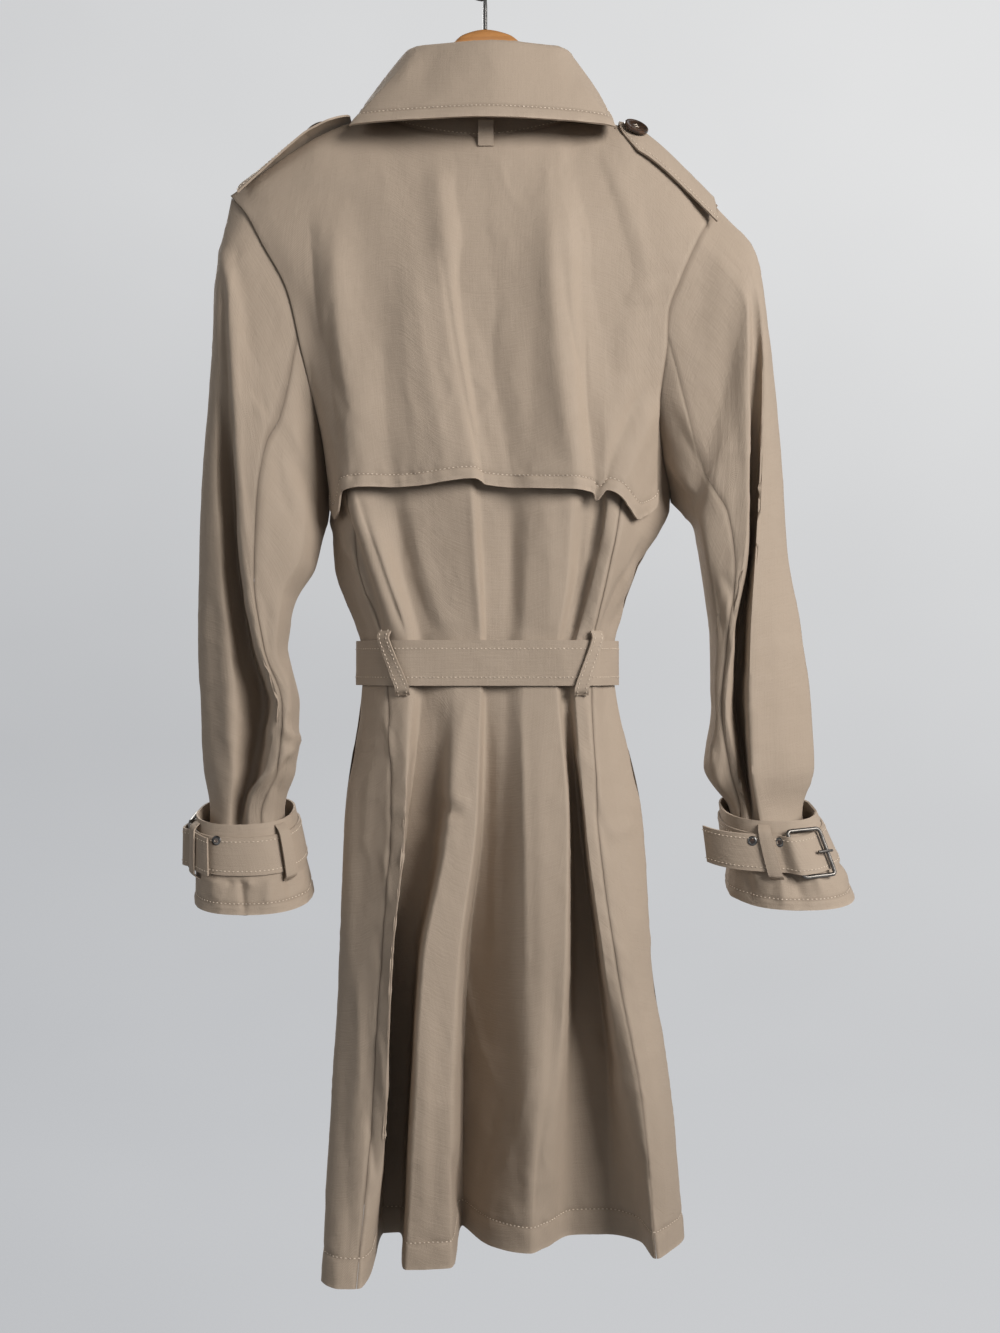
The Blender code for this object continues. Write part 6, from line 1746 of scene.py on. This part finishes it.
def build_eyelets(letter):
    """Rings round the holes of a cuff strap, each seated on the strap where it shows, with a dark disc of
    painted shade in each hole.
    """
    strap = PIECES["cuff_strap_" + letter]
    seen = sight(strap.grid)
    for number, spot in enumerate(EYELETS[letter], 1):
        far = np.hypot(*(seen - np.array(spot, float)).transpose(2, 0, 1))
        faces_away = strap.outward[..., 1] > -0.1
        far += np.where(faces_away, FAR, 0.0) + (strap.grid[..., 1] - strap.grid[..., 1].min())
        place = np.unravel_index(np.argmin(far), far.shape)
        # The hole is a dark horn disc, painted shade inside the ring.
        for part, profile, material in (("ring", EYELET_RING, "dark_steel"),
                                        ("hole", EYELET_SHADE_DISC, "dark_horn")):
            item = turned(f"eyelet_{part}_{letter}{number}", profile, finish(material), 28)
            item.data.transform(standing(strap.grid[place], strap.outward[place]))
            take_place(item, [])


def strap_path(side, bearing, share, out):
    return cuff_point(side, np.radians(bearing), share, out)


def build_cuffs():
    angle = np.linspace(0, 2 * math.pi, CUFF_COLUMNS, endpoint=False)
    for side, letter in SIDES:
        grid = np.array([cuff_point(side, angle, row, 0.0) for row in np.linspace(0, 1, CUFF_ROWS)])
        quiet = np.full(grid.shape[:2], 1.0)
        quiet[UNDER_STRAP] = UNDER_STRAP_SHARE
        lay_cloth("cuff_" + letter, grid, wrap=True, hem=CUFF_HEM, uneven=0.3, quiet=quiet)
        build_strap(side, letter)
        build_strap_loops(side, letter)


def build_strap_loops(side, letter):
    over = STRAP_GAP + 2 * STRAP_THICKNESS + STRAP_LAYER_GAP + 0.5
    path = ((STRAP_TOP - 0.1, SEAM_GAP), (STRAP_TOP - 0.03, over), (STRAP_BOTTOM + 0.03, over),
            (STRAP_BOTTOM + 0.1, SEAM_GAP))
    half = STRAP_LOOP_WIDTH / 2 / CUFF_DEGREE
    for number, bearing in enumerate(STRAP_LOOP_BEARINGS[letter], 1):
        bearings = bearing + np.array([-half, 0, half])
        grids = [refine([strap_path(side, bearings, share, out + lift) for share, out in path], 36, 9)
                 for lift in (STRAP_LOOP_THICKNESS, 0.0)]
        keep_cloth(f"cuff_loop_{letter}{number}", *grids, directions(grids[0]))


def build_strap(side, letter):
    buckle, way, tail, tip_off = STRAPS[letter]
    turns = 360 + tail / CUFF_DEGREE
    travel = np.linspace(5, turns, STRAP_COLUMNS)
    bearing = buckle + way * travel
    gap = STRAP_GAP
    high = gap + 2 * STRAP_THICKNESS + STRAP_RISE
    rest = gap + STRAP_THICKNESS + STRAP_LAYER_GAP
    out = smooth((*STRAP_STEPS, turns),
                 (gap, gap, high * 0.8, high, rest, rest, rest + tip_off), travel)[:, 0]
    rows = np.linspace(STRAP_TOP, STRAP_BOTTOM, STRAP_ROWS)
    outer = np.array([strap_path(side, bearing, row, out + STRAP_THICKNESS) for row in rows])
    inner = np.array([strap_path(side, bearing, row, out) for row in rows])
    flip = way < 0
    keep_cloth("cuff_strap_" + letter, outer, inner, directions(outer, flip=flip), flip)
    centre_share = (STRAP_TOP + STRAP_BOTTOM) / 2
    wire = STRAP_BUCKLE_WIRE
    lie = gap + STRAP_THICKNESS + wire + SEAM_GAP
    top, centre, bottom = (strap_path(side, np.array([buckle]), row, lie)[0]
                           for row in (STRAP_TOP, centre_share, STRAP_BOTTOM))
    beside = strap_path(side, np.array([buckle - 2, buckle + 2]), centre_share, 0.0)
    along, up = unit(beside[1] - beside[0]), unit(top - bottom)
    half = np.linalg.norm(top - bottom) / 2 + wire + STRAP_BUCKLE_MARGIN
    points = frame_points(centre, along, up, STRAP_BUCKLE_HALF_LENGTH, half, wire)
    wire_piece("cuff_buckle_" + letter, points, wire, "gunmetal", True)
    off = np.cross(along, up)
    off = off * np.sign(np.dot(off[:2], centre[:2] - np.array(CUFFS[letter][0][:2])))
    on_bar = wire + SEAM_GAP + PRONG_WIRE
    tip = centre - way * along * (STRAP_BUCKLE_HALF_LENGTH + 3) + off * on_bar
    root = centre - way * along * 4 + off * (on_bar + 1.8)
    wire_piece("cuff_prong_" + letter, prong_points(tip, root, off), PRONG_WIRE, "gunmetal", False)
    build_eyelets(letter)


# ---------- hanger
def build_hanger():
    rows = np.array(HANGER, float)
    fine_x = np.linspace(rows[0, 0], rows[-1, 0], HANGER_SECTIONS)
    columns = smooth(rows[:, 0], rows[:, 1:], fine_x)
    angle = np.linspace(0, 2 * math.pi, HANGER_ROUND, endpoint=False)
    c, s = np.cos(angle), np.sin(angle)
    size = (np.abs(c) ** HANGER_SQUARENESS + np.abs(s) ** HANGER_SQUARENESS) ** (-1 / HANGER_SQUARENESS)
    top, height, thickness = (columns[:, k, None] for k in range(3))
    x = fine_x[:, None] + 0 * angle
    points = np.stack([x, thickness / 2 * c * size, top + height / 2 * (s * size - 1)], axis=-1)
    faces = tube_faces(HANGER_SECTIONS, HANGER_ROUND)
    item = plain_object("hanger_wood", points.reshape(-1, 3), faces, finish("beech"), 50)
    face_out(item)
    take_place(item, ["hanger"])
    centre = -HOOK_RADIUS + HOOK_WIRE
    foot, bend = HANGER_CROWN + SEAM_GAP, centre - HOOK_RADIUS - HOOK_NECK
    path = [(0, 0, foot), (0, 0, (foot + 2 * HOOK_NECK + bend) / 2), (0, 0, bend)]
    for degrees in range(-90, -421, -6):
        turn = math.radians(degrees)
        path.append((HOOK_RADIUS * math.cos(turn), 0, centre + HOOK_RADIUS * math.sin(turn)))
    wire_piece("hanger_hook", path, HOOK_WIRE, "dark_steel", False)


def face_out(item):
    bm = bmesh.new()
    bm.from_mesh(item.data)
    bmesh.ops.recalc_face_normals(bm, faces=bm.faces)
    bm.to_mesh(item.data)
    bm.free()


# ---------- rows of stitches
SEAM_ROWS = (
    # pieces | edges | distance, none where the hem's own row is taken
    ("back_centre side_back_l side_back_r front_l front_r storm_flap collar_fall", "hem", None),
    ("collar_stand", "bottom", 3.0),
    ("belt", "top bottom", 7.0),
    ("epaulet_l epaulet_r", "top bottom", 4.5),
    ("cuff_strap_l cuff_strap_r", "top bottom", 3.5),
    ("cuff_l cuff_r", "hem", None),
    ("lapel_l lapel_r", "left", 6.0),
    ("belt_loop_l belt_loop_r", "left right", 2.4),
)


def sew_all(sizes):
    for nodes, edges, distance in SEAM_ROWS:
        for node in nodes.split():
            for edge in edges.split():
                stitch_from_edge(node, edge, distance)
    for node, lines in STITCH_LINES.items():
        sew(node + "_stitches", lines, finish("thread"), sizes)


# ---------- stage
STUDIO_ROUND = 96


def build_stage(stage):
    floor = -HEM_DROP * MM - stage.floor_drop
    profile = [(0.02, floor), (1.2, floor), (stage.wall_radius - stage.wall_curve, floor)]
    for step in range(1, 13):
        turn = math.radians(90 * step / 12)
        profile.append((stage.wall_radius - stage.wall_curve + stage.wall_curve * math.sin(turn),
                        floor + stage.wall_curve * (1 - math.cos(turn))))
    profile.append((stage.wall_radius, floor + stage.wall_height))
    points = np.vstack([ring_of(radius, height, STUDIO_ROUND) for radius, height in profile]) / MM
    faces = tube_faces(len(profile), STUDIO_ROUND)[:-1]
    bowl = plain_object("studio_sweep", points, faces, finish("studio"), 80)
    # The glowing sweep lights nothing else and casts no shadow.
    bowl.visible_diffuse = False
    bowl.visible_shadow = False


def add_light(name, place, target, size, power, colour):
    light = bpy.data.lights.new(name, "AREA")
    light.shape = "DISK"
    light.size = size
    light.energy = power
    light.color = colour
    item = new_object(name, light)
    item.location = place
    item.rotation_euler = (Vector(target) - Vector(place)).to_track_quat("-Z", "Y").to_euler()


def build_lights(stage):
    middle = (0, 0, VIEW_Z * MM)
    add_light("Key", stage.key_place, (0.0, 0.0, -0.35), stage.key_size, stage.key_power, stage.key_colour)
    add_light("Bounce", (-2.1, -1.3, -0.1), middle, 1.6, stage.key_power * 0.1, (1.0, 0.95, 0.89))
    add_light("Front", (-0.9, 2.2, 0.9), middle, 1.4, stage.key_power * 0.45, (1.0, 0.98, 0.95))
    world = bpy.data.worlds.new("Studio air")
    world.use_nodes = True
    air = world.node_tree.nodes["Background"]
    air.inputs["Color"].default_value = (*stage.fill_colour, 1.0)
    air.inputs["Strength"].default_value = stage.fill_strength
    bpy.context.scene.world = world


def build_camera():
    camera = bpy.data.cameras.new("Camera")
    camera.sensor_fit = "VERTICAL"
    camera.sensor_height = 24.0
    distance = SIGHT_PLANE_Y - VIEW_Y
    camera.lens = camera.sensor_height * distance / (SIGHT_ROWS * SQUARE)
    camera.clip_start = 0.05
    camera.clip_end = 60.0
    item = new_object("Camera", camera)
    item.location = Vector((VIEW_X, VIEW_Y, VIEW_Z)) * MM
    item.rotation_euler = (math.pi / 2, 0, 0)
    bpy.context.scene.camera = item
    bpy.context.scene.view_settings.view_transform = "Standard"


# ---------- settings
def colour_property(name, default, description):
    return FloatVectorProperty(name=name, description=description, default=default, subtype="COLOR", size=3,
                               min=0.0, max=1.0)


def length_property(name, default, description, **more):
    return FloatProperty(name=name, description=description, default=default, unit="LENGTH", **more)


class CoatLook(bpy.types.PropertyGroup):
    """Colours and weave of the coat's materials."""

    cloth_colour: colour_property("Cloth", (0.42, 0.346, 0.28), "Colour of the gabardine")
    thread_colour: colour_property("Thread", (0.74, 0.65, 0.55), "Colour of the sewing thread")
    horn_colour: colour_property("Horn", (0.03, 0.014, 0.006), "Colour of the buttons")
    metal_colour: colour_property("Buckles", (0.12, 0.115, 0.11), "Colour of the buckles")
    steel_colour: colour_property("Hook", (0.1, 0.1, 0.1), "Colour of the hanger's hook")
    wood_colour: colour_property("Wood", (0.5, 0.235, 0.075), "Colour of the hanger")
    wall_lit_glow_colour: colour_property("Wall, bright side", (0.86, 0.865, 0.87), "Wall's upper right")
    wall_shaded_glow_colour: colour_property("Wall, dim side", (0.45, 0.465, 0.49), "Wall's lower left")
    ribs_per_metre: FloatProperty(name="Twill ribs", description="Twill ribs in a metre of cloth",
                                  default=900.0, min=100.0, max=3000.0)


FINE = dict(subtype="DISTANCE", precision=5)


class CoatSewing(bpy.types.PropertyGroup):
    """Sizes of the stitches."""

    stitch_pitch: length_property("Pitch", 0.0036, "From one stitch to the next", **FINE)
    stitch_length: length_property("Length", 0.0021, "Thread shown by one stitch", **FINE)
    thread_thickness: length_property("Thickness", 0.00085, "Thickness of the thread", **FINE)


class CoatStage(bpy.types.PropertyGroup):
    """Sizes and lights of the studio."""

    floor_drop: length_property("Floor", 0.5, "From the hem down to the floor")
    wall_radius: length_property("Wall", 4.2, "From the coat to the wall")
    wall_curve: length_property("Sweep", 2.4, "Radius of the floor's sweep into the wall")
    wall_height: length_property("Height", 6.0, "Height of the wall")
    key_place: FloatVectorProperty(name="Key place", description="Where the main light stands",
                                   default=(1.8, -1.75, 0.42), subtype="TRANSLATION")
    key_size: length_property("Key size", 1.4, "Width of the main light")
    key_power: FloatProperty(name="Key power", description="Power of the main light", default=85.0,
                             unit="POWER")
    key_colour: colour_property("Key colour", (1.0, 0.95, 0.89), "Colour of the main light")
    fill_colour: colour_property("Fill colour", (1.0, 0.93, 0.84), "Colour of the light from all round")
    fill_strength: FloatProperty(name="Fill", description="Strength of the light from all round",
                                 default=0.11)


# ---------- operators
def needs_frame(node):
    """Raises an error where the loaded frame lacks a node."""
    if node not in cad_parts:
        raise RuntimeError(f"the frame has no node named {node}")


class CoatOperator:
    """Runs its steps in order, once each of its nodes is there."""

    bl_options = {"REGISTER", "UNDO"}
    nodes = ()
    steps = ()

    def execute(self, context):
        for node in self.nodes:
            needs_frame(node)
        for step in self.steps:
            step()
        return {"FINISHED"}


class COAT_OT_stage(bpy.types.Operator):
    """Sets the camera, the lights, the floor and the wall"""

    bl_idname = "coat.stage"
    bl_label = "Stage and camera"

    def execute(self, context):
        build_camera()
        build_lights(context.scene.coat_stage)
        build_stage(context.scene.coat_stage)
        return {"FINISHED"}


class COAT_OT_body(CoatOperator, bpy.types.Operator):
    """Makes the back panels and the fronts"""

    bl_idname = "coat.body"
    bl_label = "Back and fronts"
    nodes = ("back_centre", "front_l", "front_r")
    steps = (build_back, build_fronts)


class COAT_OT_sleeves(CoatOperator, bpy.types.Operator):
    """Makes the four sleeve pieces"""

    bl_idname = "coat.sleeves"
    bl_label = "Sleeves"
    nodes = ("top_sleeve_l", "under_sleeve_l")
    steps = (build_sleeves,)


class COAT_OT_flap(CoatOperator, bpy.types.Operator):
    """Makes the storm flap over the shoulders"""

    bl_idname = "coat.flap"
    bl_label = "Storm flap"
    nodes = ("storm_flap",)
    steps = (build_flap,)


class COAT_OT_front_details(CoatOperator, bpy.types.Operator):
    """Makes the lapels and the pocket welts"""

    bl_idname = "coat.front_details"
    bl_label = "Lapels and pockets"
    nodes = ("lapel_l", "pocket_welt_l")
    steps = (build_lapels, build_pockets)


class COAT_OT_collar(CoatOperator, bpy.types.Operator):
    """Makes the collar's stand and fall, and the hanging loop"""

    bl_idname = "coat.collar"
    bl_label = "Collar"
    nodes = ("collar_stand", "collar_fall", "locker_loop")
    steps = (build_collar, build_locker_loop)


class COAT_OT_epaulets(CoatOperator, bpy.types.Operator):
    """Makes the two shoulder straps"""

    bl_idname = "coat.epaulets"
    bl_label = "Epaulets"
    nodes = ("epaulet_l", "epaulet_r")
    steps = (build_epaulets,)


class COAT_OT_buttons(CoatOperator, bpy.types.Operator):
    """Makes one horn button and sews it on in ten places"""

    bl_idname = "coat.buttons"
    bl_label = "Buttons"
    nodes = ("epaulet_button_l", "front_button_8")
    steps = (build_buttons,)


class COAT_OT_belt(CoatOperator, bpy.types.Operator):
    """Makes the belt, its buckle and its two loops"""

    bl_idname = "coat.belt"
    bl_label = "Belt"
    nodes = ("belt", "belt_buckle", "belt_loop_l")
    steps = (build_belt, build_belt_loops)


class COAT_OT_cuffs(CoatOperator, bpy.types.Operator):
    """Makes the cuffs with their straps, loops and buckles"""

    bl_idname = "coat.cuffs"
    bl_label = "Cuffs"
    nodes = ("cuff_l", "cuff_r")
    steps = (build_cuffs,)


class COAT_OT_hanger(CoatOperator, bpy.types.Operator):
    """Makes the wooden hanger and its hook"""

    bl_idname = "coat.hanger"
    bl_label = "Hanger"
    nodes = ("hanger", "hanger_hook")
    steps = (build_hanger,)


class COAT_OT_sewing(bpy.types.Operator):
    """Sews every row of stitches"""

    bl_idname = "coat.sewing"
    bl_label = "Stitches"
    bl_options = {"REGISTER", "UNDO"}

    def execute(self, context):
        if not PIECES:
            raise RuntimeError("the cloth has to be made before it is sewn")
        sew_all(context.scene.coat_sewing)
        return {"FINISHED"}


class COAT_PT_panel(bpy.types.Panel):
    """Lists the steps of the coat in the 3D view's sidebar"""

    bl_label = "Trench coat"
    bl_idname = "COAT_PT_panel"
    bl_space_type = "VIEW_3D"
    bl_region_type = "UI"
    bl_category = "Coat"

    def draw(self, context):
        for operator in OPERATORS:
            self.layout.operator(operator.bl_idname)
        for group in (context.scene.coat_look, context.scene.coat_sewing, context.scene.coat_stage):
            box = self.layout.box()
            for name in group.__annotations__:
                box.prop(group, name)


OPERATORS = (COAT_OT_stage, COAT_OT_body, COAT_OT_sleeves, COAT_OT_flap, COAT_OT_front_details,
             COAT_OT_collar, COAT_OT_epaulets, COAT_OT_buttons, COAT_OT_belt, COAT_OT_cuffs,
             COAT_OT_hanger, COAT_OT_sewing)
CLASSES = (CoatLook, CoatSewing, CoatStage, *OPERATORS, COAT_PT_panel)


def register():
    for item in CLASSES:
        bpy.utils.register_class(item)
    bpy.types.Scene.coat_look = PointerProperty(type=CoatLook)
    bpy.types.Scene.coat_sewing = PointerProperty(type=CoatSewing)
    bpy.types.Scene.coat_stage = PointerProperty(type=CoatStage)


def unregister():
    del bpy.types.Scene.coat_stage
    del bpy.types.Scene.coat_sewing
    del bpy.types.Scene.coat_look
    for item in reversed(CLASSES):
        bpy.utils.unregister_class(item)


def main():
    register()
    for operator in OPERATORS:
        family, name = operator.bl_idname.split(".")
        getattr(getattr(bpy.ops, family), name)()


if __name__ == "__main__":
    main()
